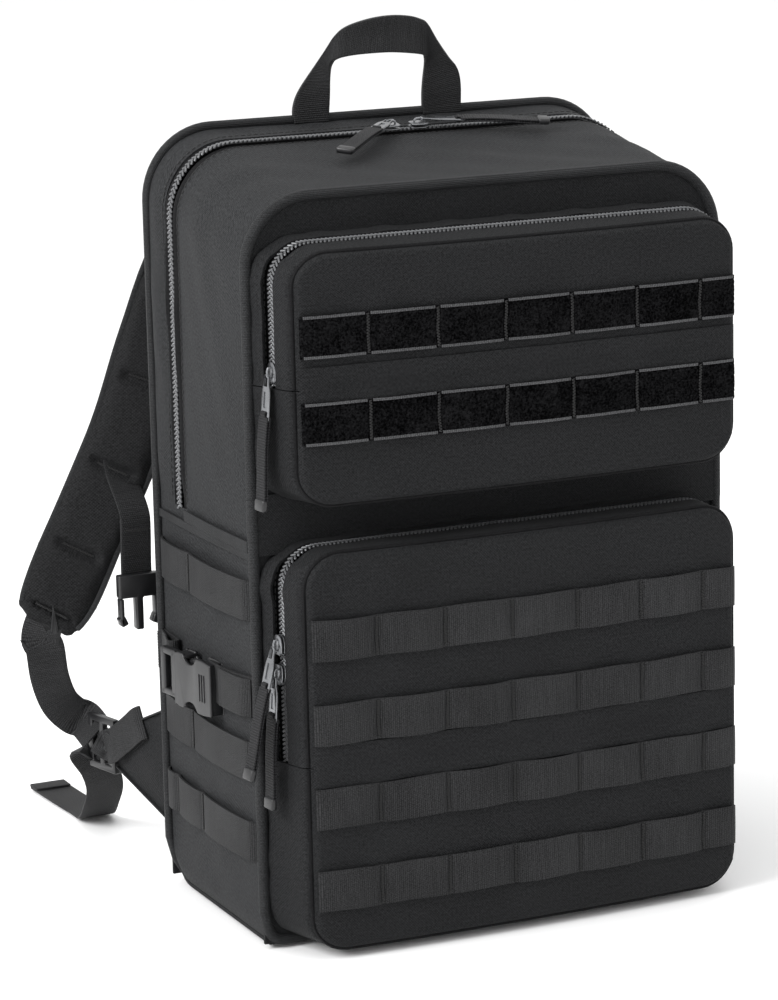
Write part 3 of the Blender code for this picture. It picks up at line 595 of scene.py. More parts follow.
def frontPanelSheet(bottom, top, y, seed, crown, faceOut=-1):
    half = pack["half"] - 0.001
    radius = pack["corner"]

    def place(u, v):
        x = (2 * u - 1) * half
        over = max(0.0, abs(x) - (half - radius))
        high = top - (radius - math.sqrt(max(0.0, radius ** 2 - over ** 2)) if top > pack["fold"] + 0.05 else 0.0)
        z = bottom + (high - bottom) * v
        wave = softWave(x, z, seed, 0.028) * (1 - abs(2 * u - 1) ** 6)
        rise = crown * (1 - (x / half) ** 2) + shell["folds"] * 0.7 * wave
        return x, y + faceOut * rise, z

    return formGrid(70, 60, place)


def edgeLine(y, bottom, out=0.0):
    return [Vector((x + ox * out, y, z + oz * out)) for (x, z), (ox, oz) in outline(y, bottom)]


def solidCloth(sheet, thickness=shell["thickness"], offset=-1.0):
    clean(sheet)
    thicken(sheet, thickness, offset)
    boxUv(sheet)
    return sheet


def backRise(y):  # how far the rounded back edge lifts the bottom
    radius = pack["backRound"]
    over = max(0.0, y - (pack["back"] - radius))
    return radius - math.sqrt(max(0.0, radius ** 2 - over ** 2)) if over else 0.0


def sideSheet(sign, seed):  # lower side panel with its rounded back corner

    def place(u, v):
        y = pack["front"] + pack["depth"] * u
        bottom = shell["baseHeight"] + backRise(y)
        z = bottom + (pack["fold"] - 0.0002 - bottom) * v
        tuck = shell["baseTuck"] * max(0.0, (bottom + pack["baseCorner"] - z) / pack["baseCorner"]) ** 2
        across = math.sin(math.pi * u)
        bulge = shell["sideBulge"] * across * math.sin(math.pi * min(1, v * 1.1)) * 0.9
        bulge += shell["folds"] * softWave(y, z, seed, 0.026) * across * math.sin(math.pi * v) ** 0.5
        return sign * (pack["half"] + bulge - tuck), y, z

    return formGrid(56, 76, place)


def makeBands():
    zipY, gap, fold = pack["zipY"], shell["zipGap"], pack["fold"]
    lidBand = solidCloth(bodyBand(pack["front"] + 0.0005, zipY - gap, fold - 0.0035, 34, 1.7))
    finishPiece(lidBand, "lidBand", gussetFabric, "lid", ["lid_gusset"])
    rearBand = solidCloth(bodyBand(zipY + gap, pack["back"] - 0.001, fold - 0.002, 12, 4.2))
    finishPiece(rearBand, "rearBand", gussetFabric, "root", ["rear_gusset"])
    for body, y0, y1, name in (("lid", zipY - shell["tapeOut"], zipY - shell["tapeIn"], "lidZipTape"),
                               ("root", zipY + shell["tapeIn"], zipY + shell["tapeOut"], "rearZipTape")):
        tape = solidCloth(bodyBand(y0, y1, fold - 0.004, 4, 2.2, shell["tapeSunk"]), 0.001)
        finishPiece(tape, name, tapeFabric, body)


def makeFaces():
    fold, frontY = pack["fold"], pack["front"] + shell["faceIn"]
    lidFace = solidCloth(frontPanelSheet(fold, pack["frontTop"] - 0.001, frontY, 3.1, 0.0008))
    finishPiece(lidFace, "lidFace", fabric, "lid", ["lid_panel"])
    lowerFace = solidCloth(frontPanelSheet(0.002, fold - 0.0002, frontY, 5.3, 0.0008))
    finishPiece(lowerFace, "lowerFace", fabric, "root", ["front_panel"])
    for side, sign in bothWays:
        wall = solidCloth(sideSheet(sign, 2.6 + sign))
        finishPiece(wall, "sideWall_" + side, gussetFabric, "root", ["side_panel_" + side])
    backY = pack["back"] - shell["faceIn"]
    back = solidCloth(frontPanelSheet(0.004, pack["backTop"] - 0.001, backY, 6.1, 0.0006, 1), offset=1.0)
    finishPiece(back, "backFace", fabric, "root", ["back_panel"])

    def basePlace(u, v):
        y = pack["front"] + 0.001 + (pack["depth"] - 0.003) * v
        return (2 * u - 1) * (pack["half"] - 0.004), y, shell["baseHeight"] + backRise(y)

    base = solidCloth(formGrid(40, 30, basePlace))
    finishPiece(base, "baseFace", fabric, "root", ["base_panel"])


def makeEdges():
    half, fold, faceY = pack["half"], pack["fold"], pack["front"] + shell["faceIn"]
    cordPiece(edgeLine(faceY, fold - 0.0018, -shell["pipingIn"]), shell["pipingRadius"], "lidPiping", "lid", binding)
    side = [Vector((-half + shell["pipingIn"], faceY, fold - 0.0018 - 0.238 * i / 20)) for i in range(20)]
    side += [Vector((-half + 0.0028 + 0.010 * (1 - math.cos(a)), faceY, 0.0145 - 0.0108 * math.sin(a)))
             for a in (0.4, 0.8, 1.2, 1.57)]
    side += [Vector((-x, y, z)) for x, y, z in reversed(side)]
    cordPiece(side, shell["pipingRadius"], "lowerPiping", "root", binding)
    # binding over the back seam
    seamY = pack["back"] - 0.002
    low = [Vector((-half + 0.0135 * (1 - math.cos(a)), seamY - 0.006 * (1 - math.cos(a)),
                   0.030 - 0.026 * math.sin(a))) for a in (1.4, 1.0, 0.6, 0.25)]
    line = low + edgeLine(seamY, 0.030, 0.0012) + [Vector((-p.x, p.y, p.z)) for p in reversed(low)]
    cordPiece(line, shell["bindingRadius"], "backBinding", "root", binding, sides=8)
    # hem where the lid's cloth laps the lower side
    hems = (("lid", "lidHem_", 0.0036, 0.0018, 0.007, pack["zipY"] - 0.010),
            ("root", "sideHem_", 0.0095, 0.0010, 0.005, pack["back"] - 0.004))
    for side, sign in bothWays:
        for body, name, down, out, width, endY in hems:
            startY = pack["front"] + 0.002
            points = lineOf(17, lambda t: (sign * (half + out + 0.0012 * math.sin(math.pi * t)),
                                           startY + (endY - startY) * t, fold - down))
            finishPiece(ribbon(points, (0, 0, 1), width, 0.0012), name + side, binding, body)


def makeFold():  # one cloth and its pipings run over the lid's fold
    low, high = pack["fold"] + foldZone["low"], pack["fold"] + foldZone["high"]

    def place(u, v):
        x, z = (2 * u - 1) * (pack["half"] - foldZone["inset"]), low + (high - low) * v
        return x, pack["front"] - foldZone["forward"] + 0.0005 * softWave(x, z, 7.7, 0.03), z

    cloth = solidCloth(formGrid(60, 14, place), 0.0012, 0.0)
    pieces = [finishPiece(cloth, "foldCloth", fabric, None)]
    for side, sign in bothWays:
        points = lineOf(13, lambda t: (sign * (pack["half"] - shell["pipingIn"]), pack["front"] + shell["faceIn"],
                                       low + 0.002 + (high - low - 0.004) * t))
        pieces.append(cordPiece(points, shell["pipingRadius"] + 0.0002, "foldPiping_" + side, None, binding))
    for piece in pieces:
        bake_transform(piece)


def makeCompartment():
    makeBands()
    makeFaces()
    makeEdges()
    makeFold()
    print("compartment made")


def bar(size, place, turn=(0, 0, 0), bevel=0.0, segments=1):  # one small bevelled block
    deselectAll()
    bpy.ops.mesh.primitive_cube_add(size=1, location=place, rotation=turn)
    block = bpy.context.object
    block.scale = size
    settle(block)
    if bevel:
        useModifier(block, "BEVEL", width=bevel, segments=segments, limit_method="NONE")
    return block


def copiesAlong(template, frames):  # copies one small mesh to each matrix and joins them as one mesh
    verts = [v.co.copy() for v in template.data.vertices]
    faces = [tuple(p.vertices) for p in template.data.polygons]
    points, polygons = [], []
    for matrix in frames:
        start = len(points)
        points += [matrix @ v for v in verts]
        polygons += [tuple(start + i for i in face) for face in faces]
    mesh = bpy.data.meshes.new("row")
    mesh.from_pydata(points, [], polygons)
    made = bpy.data.objects.new("row", mesh)
    bpy.context.scene.collection.objects.link(made)
    bpy.data.objects.remove(template, do_unlink=True)
    return made


def frameAt(place, along, out):
    along, out = Vector(along).normalized(), Vector(out).normalized()
    side = along.cross(out).normalized()
    out = side.cross(along).normalized()
    return Matrix([(along[i], side[i], out[i], place[i]) for i in range(3)] + [(0, 0, 0, 1)])


def walk(points, outs, pitch):  # even steps along a line, with the way along and the way off the cloth
    steps, carry, outs = [], pitch / 2, everyPoint(outs, points)
    for a, b, oa, ob in zip(points, points[1:], outs, outs[1:]):
        length = (b - a).length
        if length < 1e-9:
            continue
        at = carry
        while at < length:
            t = at / length
            steps.append((a.lerp(b, t), (b - a).normalized(), Vector(oa).lerp(Vector(ob), t).normalized()))
            at += pitch
        carry = at - length
    return steps


zipTooth = dict(pitch=0.0025, length=0.0036, width=0.0013, height=0.0013, slant=34, bevel=0.00042, stagger=0.0008)


def zipTeeth(name, points, outs, body, stands=(), size=1.0):
    width, length, height = (zipTooth[key] * size for key in ("width", "length", "height"))
    tooth = bar((width, length, height), (0, 0, 0), bevel=zipTooth["bevel"] * size)
    frames = []
    for place, along, out in walk(points, outs, zipTooth["pitch"] * size):
        base = frameAt(place, along, out)
        for side in (-1, 1):
            turn = Matrix.Rotation(math.radians(zipTooth["slant"] * side), 4, "Z")
            shift = Matrix.Translation((zipTooth["stagger"] * side * size, side * length * 0.42, height * 0.35))
            frames.append(base @ shift @ turn)
    return finishPiece(copiesAlong(tooth, frames), name, toothSilver, body, stands, 30)


def stitchRow(name, points, outs, body, pitch=0.0042, length=0.0029, radius=0.00028, lift=0.0002):
    stitch = bar((length, radius * 2, radius * 2), (0, 0, 0), bevel=radius * 0.7)
    frames = [frameAt(place + out * lift, along, out) for place, along, out in walk(points, outs, pitch)]
    return finishPiece(copiesAlong(stitch, frames), name, thread, body, (), 60)


def bandLine(y, bottom, out):  # a line on the compartment's top and sides, and its ways off the cloth
    return edgeLine(y, bottom, out), [(outX, 0, outZ) for _, (outX, outZ) in outline(y, bottom)]


def makeMainZip():
    zipTeeth("mainZipTeeth", *bandLine(pack["zipY"], pack["fold"] - 0.001, 0.0002), "lid", ["main_zip_chain"], 1.15)
    for body, way, name in (("lid", -1, "lidZipStitch"), ("root", 1, "rearZipStitch")):
        stitchRow(name, *bandLine(pack["zipY"] + way * shell["stitchOut"], pack["fold"] + 0.004, 0.0006), body)
    print("main zip made")


# front pockets

# the third value is the radius of the dark cord of painted shade along each face's seam
pocketLook = dict(edge=0.0044, lobe=0.0030, seam=0.0013, thickness=0.0020, folds=0.0016, zipFront=0.0190,
                  zipBack=0.0095, tapeSunk=0.0009, rings=12, ripple=0.0009)


def pocketFront(p, x):
    return p["depth"] - p["crown"] * min(1.0, (x / p["half"]) ** 2)


def pocketDrop(p, x):
    over = max(0.0, abs(x) - (p["half"] - p["radius"]))
    return p["radius"] - math.sqrt(max(0.0, p["radius"] ** 2 - over ** 2))


def pocketFace(p, x, z):  # depth of the cloth's front at a point of the face
    drop = pocketDrop(p, x)
    near = min(p["half"] - abs(x), p["high"] - drop - z, z - p["low"] - drop)
    r = pocketLook["edge"]
    back = r - math.sqrt(max(0.0, r * r - (r - min(r, max(0.0, near))) ** 2))
    inner = ease(near, 0.004, 0.03)
    wave = pocketLook["folds"] * softWave(x, z * 1.6, p["waves"], 0.034) * inner
    fold = -0.0016 * math.exp(-((z - p["fold"]) / 0.004) ** 2) * inner
    return pack["front"] - pocketFront(p, x) + back + wave * 0.8 - fold


def gussetSwell(share):  # the gusset swells just behind the face's seam
    rise = math.sqrt(max(0.0, 1 - (1 - min(1.0, share / 0.14)) ** 2))
    return pocketLook["lobe"] * rise * (1 - 0.75 * ease(share, 0.55, 1.0))


def crowded(share):  # more columns near both ends, from -1 to 1
    t = 2 * share - 1
    return 1.18 * t - 0.18 * t ** 3


def pocketShell(p):  # the face, then the gusset drawn back from its edge ring by ring

    def place(u, v):
        x = p["half"] * crowded(u)
        drop = pocketDrop(p, x)
        z = p["low"] + drop + (p["high"] - p["low"] - 2 * drop) * (0.5 + 0.5 * crowded(v))
        return x, pocketFace(p, x, z), z

    sheet = formGrid(108, 84, place)
    clean(sheet)
    choose(sheet)
    bpy.ops.object.mode_set(mode="EDIT")
    bpy.ops.mesh.select_mode(type="EDGE")
    bpy.ops.mesh.select_all(action="DESELECT")
    bpy.ops.mesh.select_non_manifold(extend=False, use_wire=False, use_boundary=True, use_multi_face=False,
                                     use_non_contiguous=False, use_verts=False)
    rings, goal, middle = pocketLook["rings"], pack["front"] - 0.0012, (p["low"] + p["high"]) / 2
    for ring in range(1, rings + 1):
        bpy.ops.mesh.extrude_region_move(TRANSFORM_OT_translate={"value": (0, 0.001, 0)})
        bpy.ops.object.mode_set(mode="OBJECT")
        share, last = (ring / rings) ** 1.5, ((ring - 1) / rings) ** 1.5
        swell = gussetSwell(share) - gussetSwell(last)
        ripple = pocketLook["ripple"] * (math.sin(math.pi * share) - math.sin(math.pi * last))
        spread = (1 + p["taper"] / p["half"] * share) / (1 + p["taper"] / p["half"] * last)
        for vertex in sheet.data.vertices:
            if not vertex.select:
                continue
            x, z = vertex.co.x, vertex.co.z
            start = pack["front"] - pocketFront(p, min(p["half"], abs(x))) + pocketLook["edge"]
            vertex.co.y = start + (goal - start) * share
            vertex.co.x = x * spread
            if abs(x) > p["half"] - 0.006:
                vertex.co.x += math.copysign(swell + ripple * softWave(z, 0.0, p["ripples"], 0.016), x)
            else:
                rise = swell * 0.35 + ripple * softWave(x, 0.0, p["ripples"], 0.020)
                vertex.co.z += math.copysign(rise, z - middle)
        bpy.ops.object.mode_set(mode="EDIT")
    bpy.ops.object.mode_set(mode="OBJECT")
    clean(sheet)
    return sheet


def cutAway(piece, place, way):  # keeps the side that the way points from
    with editing(piece):
        bpy.ops.mesh.bisect(plane_co=place, plane_no=way, clear_outer=True, clear_inner=False)
    return piece


def gussetLine(p, y, out=0.0):  # the pocket's outline at depth y, from the left fold over the top to the right fold
    share = (y - (pack["front"] - p["depth"] + p["crown"])) / (p["depth"] - p["crown"])
    spread = 1 + p["taper"] / p["half"] * min(1.0, max(0.0, share))
    r, half, high = p["radius"], p["half"], p["high"]
    line = [Vector((-half * spread - out, y, p["fold"] + (high - r - p["fold"]) * i / 16)) for i in range(16)]
    ways = [(-1, 0, 0)] * 16
    for i in range(10):
        a = math.radians(9 * i)
        line.append(Vector(((-half + r - (r + out) * math.cos(a)) * spread, y, high - r + (r + out) * math.sin(a))))
        ways.append((-math.cos(a), 0, math.sin(a)))
    line.append(Vector(((-half + r) * spread, y, high + out)))
    ways.append((0, 0, 1))
    line += [Vector((-point.x, point.y, point.z)) for point in reversed(line)]
    return line, ways + [(-way[0], 0, way[2]) for way in reversed(ways)]


def pocketPanels(p, zipFront, zipBack):  # the flap in front of the zip, and the base with its part behind the zip
    whole = pocketShell(p)
    flap, rear = (cutAway(cutAway(copyOf(whole), (0, 0, p["fold"] + 0.0003), (0, 0, -1)), (0, y, 0), (0, way, 0))
                  for y, way in ((zipFront, 1), (zipBack, -1)))
    base = cutAway(whole, (0, 0, p["fold"] - 0.0003), (0, 0, 1))
    for parts, label, body in (([flap], "Flap", p["flapBody"]), ([base, rear], "Base", p["baseBody"])):
        panel = joinAll(parts)
        thicken(panel, pocketLook["thickness"], -1.0)
        boxUv(panel)
        stands = [f"{p['name']}_pocket_{label.lower()}"]
        finishPiece(panel, p["name"] + "Pocket" + label, fabric, body, stands, 50)


def pocketZip(p, zipFront, zipBack):  # tape, teeth and stitches
    for y0, y1, body, label in ((zipFront - 0.0015, zipFront + 0.0030, p["flapBody"], "FlapTape"),
                                (zipBack - 0.0030, zipBack + 0.0015, p["baseBody"], "BaseTape")):
        near, far = (gussetLine(p, y, -pocketLook["tapeSunk"])[0] for y in (y0, y1))
        last = len(near) - 1
        tape = formGrid(last, 2, lambda u, v: near[round(u * last)].lerp(far[round(u * last)], v))
        finishPiece(solidCloth(tape, 0.0009), p["name"] + label, tapeFabric, body)
    zipTeeth(p["name"] + "ZipTeeth", *gussetLine(p, (zipFront + zipBack) / 2, 0.0004), p["baseBody"],
             [p["name"] + "_zip_chain"], 1.05)
    for y, body, label in ((zipFront - 0.0022, p["flapBody"], "FlapStitch"),
                           (zipBack + 0.0018, p["baseBody"], "BaseStitch")):
        stitchRow(p["name"] + label, *gussetLine(p, y, 0.0004), body)


def pocketFold(p):  # the face's cloth runs on over the flap's fold
    low, high, front = p["fold"] - 0.0120, p["fold"] + 0.0135, pack["front"] - p["depth"]

    def place(u, v):
        x, z = (2 * u - 1) * (p["half"] - 0.0012), low + (high - low) * v
        y = pocketFace(p, x, z) - 0.0007
        return x + p["shift"] * min(1.0, (pack["front"] - y) / (p["depth"] - 0.004)), y, z

    cloth = solidCloth(formGrid(110, 12, place), 0.0010, 0.0)
    finishPiece(cloth, p["name"] + "FoldCloth", fabric, None)
    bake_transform(cloth)


def pocketSeamShades(p):  # painted shade: a dark cord along the seam between the face and its gusset, standing in for the shadow in the groove there
    half, r = p["half"], p["radius"]
    for label, body, way in (("SeamTop", p["flapBody"], 1), ("SeamLow", p["baseBody"], -1)):
        edgeZ, start = (p["high"] if way > 0 else p["low"]), p["fold"] + way * 0.0006
        line = [(-half, start + (edgeZ - way * r - start) * i / 24) for i in range(24)]
        for i in range(11):
            a = math.radians(9 * i)
            line.append((-half + r * (1 - math.cos(a)), edgeZ - way * r * (1 - math.sin(a))))
        line += [(-half + r + (half - r) * i / 20, edgeZ) for i in range(1, 21)]
        line += [(-x, z) for x, z in reversed(line[:-1])]
        points = [Vector((x * 1.001, pack["front"] - pocketFront(p, x) + pocketLook["edge"] - 0.0002, z))
                  for x, z in line]
        cordPiece(points, pocketLook["seam"], p["name"] + label, body, tapeFabric, sides=6)


def makePocket(p):
    zipPlace = pack["front"] - pocketLook["zipFront"], pack["front"] - pocketLook["zipBack"]
    pocketPanels(p, *zipPlace)
    pocketZip(p, *zipPlace)
    pocketFold(p)
    pocketSeamShades(p)
    print(p["name"] + " pocket made")


def leanPocket(p):  # the whole pocket leans to the right and a little down towards its face
    # the last of these names also picks the dark cords of painted seam shade
    names = tuple(p["name"] + part for part in ("Pocket", "Flap", "Base", "Zip", "Seam"))
    names += ("loadWebbing_", "loadTacks_") if p["name"] == "lower" else ("loopStrip", "loopTacks_")
    for piece in bpy.data.objects:
        if piece.type != "MESH" or not piece.name.startswith(names) or piece.name in frame["nodes"]:
            continue
        for vertex in piece.data.vertices:
            share = min(1.0, max(0.0, (pack["front"] - vertex.co.y) / (p["depth"] - 0.004)))
            vertex.co.x += p["shift"] * share
            sink = p["sink"] * share - (0.0015 * (1 - share) if p["sink"] else 0.0)
            vertex.co.z -= sink * ease(vertex.co.z, p["high"] - 0.040, p["high"])


# webbing rows and loop strips

rows = dict(height=0.0245, thickness=0.0013, firstStitch=-0.1010, stitchPitch=0.0437, stitches=6, puff=0.0024,
            lowerTops=(0.2075, 0.1567, 0.1059, 0.0551), loopTops=(0.3865, 0.3357),
            sideTops=(0.2255, 0.1265, 0.0770), sideSpan=0.138, sideStitches=((0.017,), (0.017,), (0.005, 0.049)),
            sidePuff=0.0026, stripPuff=0.0016, stripFuzz=0.00035, tackIn=0.0006)


def puffBetween(at, stops, size, tight=0.0024):  # how far the webbing stands off the cloth between its stitches
    for a, b in zip(stops, stops[1:]):
        if a <= at <= b:
            t = (at - a) / (b - a)
            edge = min(at - a, b - at)
            return size * math.sin(math.pi * t) ** 0.5 * min(1.0, edge / tight)
    return 0.0


def rowStops(p):
    stops = [rows["firstStitch"] + rows["stitchPitch"] * i for i in range(rows["stitches"])]
    return [-p["half"]] + stops + [p["half"]]


def sewnStrip(sheet, length, name, material, body, stands=()):
    placeUv(sheet, lambda u, v: (v * rows["height"], u * length))
    thicken(sheet, rows["thickness"])
    clean(sheet)
    return finishPiece(sheet, name, material, body, stands, 50)


def faceRow(p, top, name, material, body, stands, columns=132, lines=7, rough=0.0, puff=rows["puff"]):
    stops, half, middle = rowStops(p), p["half"] - 0.0016, top - rows["height"] / 2
    chance = random.Random(name)

    def place(u, v):
        x = -half + 2 * half * u
        z = top - rows["height"] * (1 - v) + 0.0003 * math.sin(x * 120 + top * 90)
        stand = puffBetween(x, stops, puff) * (1 - 0.25 * (2 * v - 1) ** 2)
        jitter = chance.uniform(-rough, rough) if rough else 0.0
        return x, pocketFace(p, x, middle + (z - middle) * 0.9) - 0.0009 - stand + jitter, z

    return sewnStrip(formGrid(columns, lines, place), 2 * half, name, material, body, stands)


def bartack(points, outs, name, body, width=0.0019, pitch=0.0009, radius=0.00034):  # close stitches across a line
    stitch = bar((radius * 2, width, radius * 2), (0, 0, 0), bevel=radius * 0.6)
    frames = []
    for index, (place, along, out) in enumerate(walk(points, outs, pitch)):
        base = frameAt(place + out * 0.00025, along, out)
        frames.append(base @ Matrix.Rotation(math.radians(14 if index % 2 else -14), 4, "Z"))
    return finishPiece(copiesAlong(stitch, frames), name, thread, body, (), 60)


def tackDown(t, top):  # height of a bar tack's stitch at share t of the webbing
    return top - rows["tackIn"] - (rows["height"] - 2 * rows["tackIn"]) * t


def joinTacks(tacks, name, body):
    return finishPiece(joinAll(tacks), name, thread, body, (), 60)


def rowBartacks(p, top, body, name):
    tacks = []
    for x in rowStops(p)[1:-1]:
        points = lineOf(9, lambda t: (x + 0.0002 * math.sin(8 * t),
                                      pocketFace(p, x, top - rows["height"] * t) - 0.0020, tackDown(t, top)))
        tacks.append(bartack(points, (0, -1, 0), "tack", None))
    return joinTacks(tacks, name, body)


def stripEdges(p, top, body, name):  # pale woven edges of a loop strip, broken at its stitches
    stops, inset, edges = rowStops(p), 0.0016, []
    for z in (top - rows["tackIn"], top - rows["height"] + rows["tackIn"]):
        for a, b in zip(stops, stops[1:]):
            low, high = max(a + inset, -p["half"] + 0.003), min(b - inset, p["half"] - 0.003)

            def place(t):
                x = low + (high - low) * t
                return x, pocketFace(p, x, z) - 0.0019 - puffBetween(x, stops, rows["stripPuff"]) * 0.75, z

            edges.append(ribbon(lineOf(15, place), (0, 0, 1), 0.0017, 0.0006))
    finishPiece(joinAll(edges), name, paleEdge, body)


def wallX(y, off):  # how far the bulged side wall is from the middle, with something lying on it
    return pack["half"] + shell["sideBulge"] * math.sin(math.pi * (y - pack["front"]) / pack["depth"]) * 0.92 + off


def sideRow(side, sign, index, top):
    span = rows["sideSpan"] / 2
    stops = [-span, *rows["sideStitches"][index], span]

    def place(u, v):
        y = -span + 2 * span * u
        stand = puffBetween(y, stops, rows["sidePuff"]) - 0.0016 * ease(abs(y), span - 0.004, span)
        return sign * wallX(y, 0.0010 + stand), y, top - rows["height"] * (1 - v)

    sewnStrip(formGrid(60, 7, place), 2 * span, f"sideWebbing_{side}_{index + 1}", webbing, "root")
    tacks = [bartack(lineOf(9, lambda t: (sign * wallX(y, 0.0020), y, tackDown(t, top))), (sign, 0, 0),
                     "tack", None) for y in stops[1:-1]]
    joinTacks(tacks, f"sideTacks_{side}_{index + 1}", "root")


def makeRows():
    for index, top in enumerate(rows["lowerTops"]):
        body = "lower_flap" if index < 2 else "root"
        faceRow(pocketLower, top, f"loadWebbing_{index + 1}", webbing, body, [f"load_webbing_{index + 1}"])
        rowBartacks(pocketLower, top, body, f"loadTacks_{index + 1}")
    for index, top in enumerate(rows["loopTops"]):
        body = "upper_flap" if index == 0 else "lid"
        faceRow(pocketUpper, top, f"loopStrip_{index + 1}", pile, body, [f"loop_strip_{index + 1}"],
                330, 24, rows["stripFuzz"], rows["stripPuff"])
        rowBartacks(pocketUpper, top, body, f"loopTacks_{index + 1}")
        stripEdges(pocketUpper, top, body, f"loopStripEdges_{index + 1}")
    for side, sign in bothWays:
        for index, top in enumerate(rows["sideTops"]):
            sideRow(side, sign, index, top)
    print("webbing rows made")


# buckles, sliders and pulls

def softCopy(node, name, body, width):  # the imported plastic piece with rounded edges
    piece = bpy.data.objects.new(name, frame["nodes"][node].data.copy())
    bpy.context.scene.collection.objects.link(piece)
    clean(piece, 1e-5)
    with editing(piece):
        bpy.ops.mesh.dissolve_limited(angle_limit=math.radians(1))
    roundEdges(piece, width, 3, 30)
    return plasticPiece(piece, name, body, node)


def plasticPiece(piece, name, body, node):
    return finishPiece(piece, name, plastic, body, [node], 35)


sideBuckle = dict(near=0.1566, thickness=0.0115, mouth=0.027, length=0.044, height=0.034, middle=0.15225,
                  strapMiddle=0.1540, strapHeight=0.0245, turn=8, out=0.0022, slide=-0.0105, drop=-0.0030,
                  window=0.0190, windowHalf=0.0075, windowDip=0.0052, plate=0.0024, thinner=0.0066)
frontStrap = ((0.0004, -0.0715, 0.001), (0.0022, -0.066, 0.001), (0.0046, -0.054, 0.0005), (0.0058, -0.038, 0),
              (0.0062, -0.026, 0), (0.0062, -0.0165, 0))  # off the wall, along the side, above the strap's middle
frontLap = ((0.0012, -0.0705, 0), (0.0052, -0.062, 0), (0.0070, -0.046, 0), (0.0074, -0.034, 0))
rearStrap = ((0.0012, 0.0735, 0), (0.0036, 0.066, 0), (0.0058, 0.056, 0), (0.0090, 0.0460, 0), (0.0098, 0.0410, 0),
             (0.0070, 0.0382, 0), (0.0034, 0.0400, 0), (0.0026, 0.050, 0), (0.0012, 0.0690, 0))


def roundedPlate(points, thickness, bevel, segments=3):  # a flat outline in its own XY plane, given thickness
    deselectAll()
    bpy.ops.mesh.primitive_circle_add(vertices=len(points), radius=1, fill_type="NGON")
    plate = bpy.context.object
    for vertex, point in zip(plate.data.vertices, points):
        vertex.co = (*point, 0)
    clean(plate)
    thicken(plate, thickness)
    roundEdges(plate, bevel, segments, 30)
    return plate


def housingEdge(b, t):  # upper edge of the housing, waisted at the windows where the prongs show
    y, half = b["mouth"] - b["length"] * t, b["height"] / 2
    reach = (y - (b["mouth"] - b["window"])) / b["windowHalf"]
    dip = b["windowDip"] * math.sqrt(max(0.0, 1 - reach ** 2))
    return y, half - 0.0010 * ease(t, 0.75, 1.0) - 0.0012 * ease(t, 0.0, 0.04) * (1 - ease(t, 0.0, 0.12)) - dip


def makeSideBuckle(side, sign):
    b = sideBuckle
    middleX, rear, half = sign * (b["near"] + b["thickness"] / 2), b["mouth"] - b["length"], b["height"] / 2
    edge = [housingEdge(b, i / 32) for i in range(33)]
    plates = []
    for off in (-1, 1):
        plate = roundedPlate(edge + [(y, -z) for y, z in reversed(edge)], b["plate"], 0.0008)
        plate.rotation_euler = (math.pi / 2, 0, math.pi / 2)
        plate.location = (middleX + sign * off * (b["thickness"] / 2 - 0.0013), 0, 0)
        settle(plate)
        plates.append(plate)
    for z in (1, -1):
        for y0, y1 in ((b["mouth"] - 0.0125, b["mouth"] - 0.0012), (rear + 0.0012, rear + 0.0135)):
            plates.append(bar((b["thickness"] - 0.0008, y1 - y0, 0.0026), (middleX, (y0 + y1) / 2, z * (half - 0.0022)),
                              bevel=0.0007, segments=2))
    plates.append(bar((b["thickness"] - 0.0012, 0.0030, b["height"] - 0.004), (middleX, rear + 0.0022, 0),
                      bevel=0.0009, segments=2))
    for i in range(3):  # grip ridges across the outer face
        ridge = (sign * (b["near"] + b["thickness"] + 0.0001), rear + 0.0075 + 0.0028 * i, 0)
        plates.append(bar((0.0007, 0.0012, 0.017), ridge, bevel=0.0003, segments=2))
    housing = joinAll(plates)
    for vertex in housing.data.vertices:
        vertex.co.z += b["middle"]
    # male half: base bar with its webbing slot and middle guide
    thick, wide = b["thickness"] - b["thinner"], b["height"] - 0.004
    parts = [bar((thick, length, wide), (middleX, b["mouth"] + y, b["middle"]), bevel=0.0012, segments=3)
             for y, length in ((0.0050, 0.0088), (0.0196, 0.0050))]
    parts += [bar((thick, 0.0200, 0.0042), (middleX, b["mouth"] + 0.0118, b["middle"] + z * (half - 0.0042)),
                  bevel=0.0012, segments=3) for z in (1, -1)]
    parts.append(bar((thick - 0.0006, 0.023, 0.0052), (middleX, b["mouth"] - 0.0088, b["middle"]),
                     bevel=0.0010, segments=3))
    made = [(housing, "buckleHousing_" + side, "root", "buckle_housing_" + side),
            (joinAll(parts), "bucklePlug_" + side, "root", "buckle_plug_" + side)]
    for label, z in (("upper", 1), ("lower", -1)):
        at = b["middle"] + z * (half - 0.008)
        arm = bar((thick - 0.0004, 0.0135, 0.0036), (middleX, b["mouth"] - 0.0066, at), bevel=0.0009, segments=2)
        tip = bar((thick - 0.0004, 0.0125, 0.0068), (middleX, b["mouth"] - 0.0192, at + z * 0.0022),
                  (math.radians(-9 * z), 0, 0), 0.0018, 3)
        made.append((joinAll([arm, tip]), f"buckleProng_{label}_{side}", f"prong_{label}_{side}",
                     f"buckle_prong_{label}_{side}"))
    hinge = Vector((sign * (b["near"] + 0.004), 0.006, 0))
    turn = (Matrix.Translation(hinge + Vector((sign * b["out"], b["slide"], b["drop"])))
            @ Matrix.Rotation(math.radians(-sign * b["turn"]), 4, "Z") @ Matrix.Translation(-hinge))
    for piece, name, body, node in made:
        piece.data.transform(turn)
        clean(piece)
        plasticPiece(piece, name, body, node)
    makeSideStraps(side, sign)


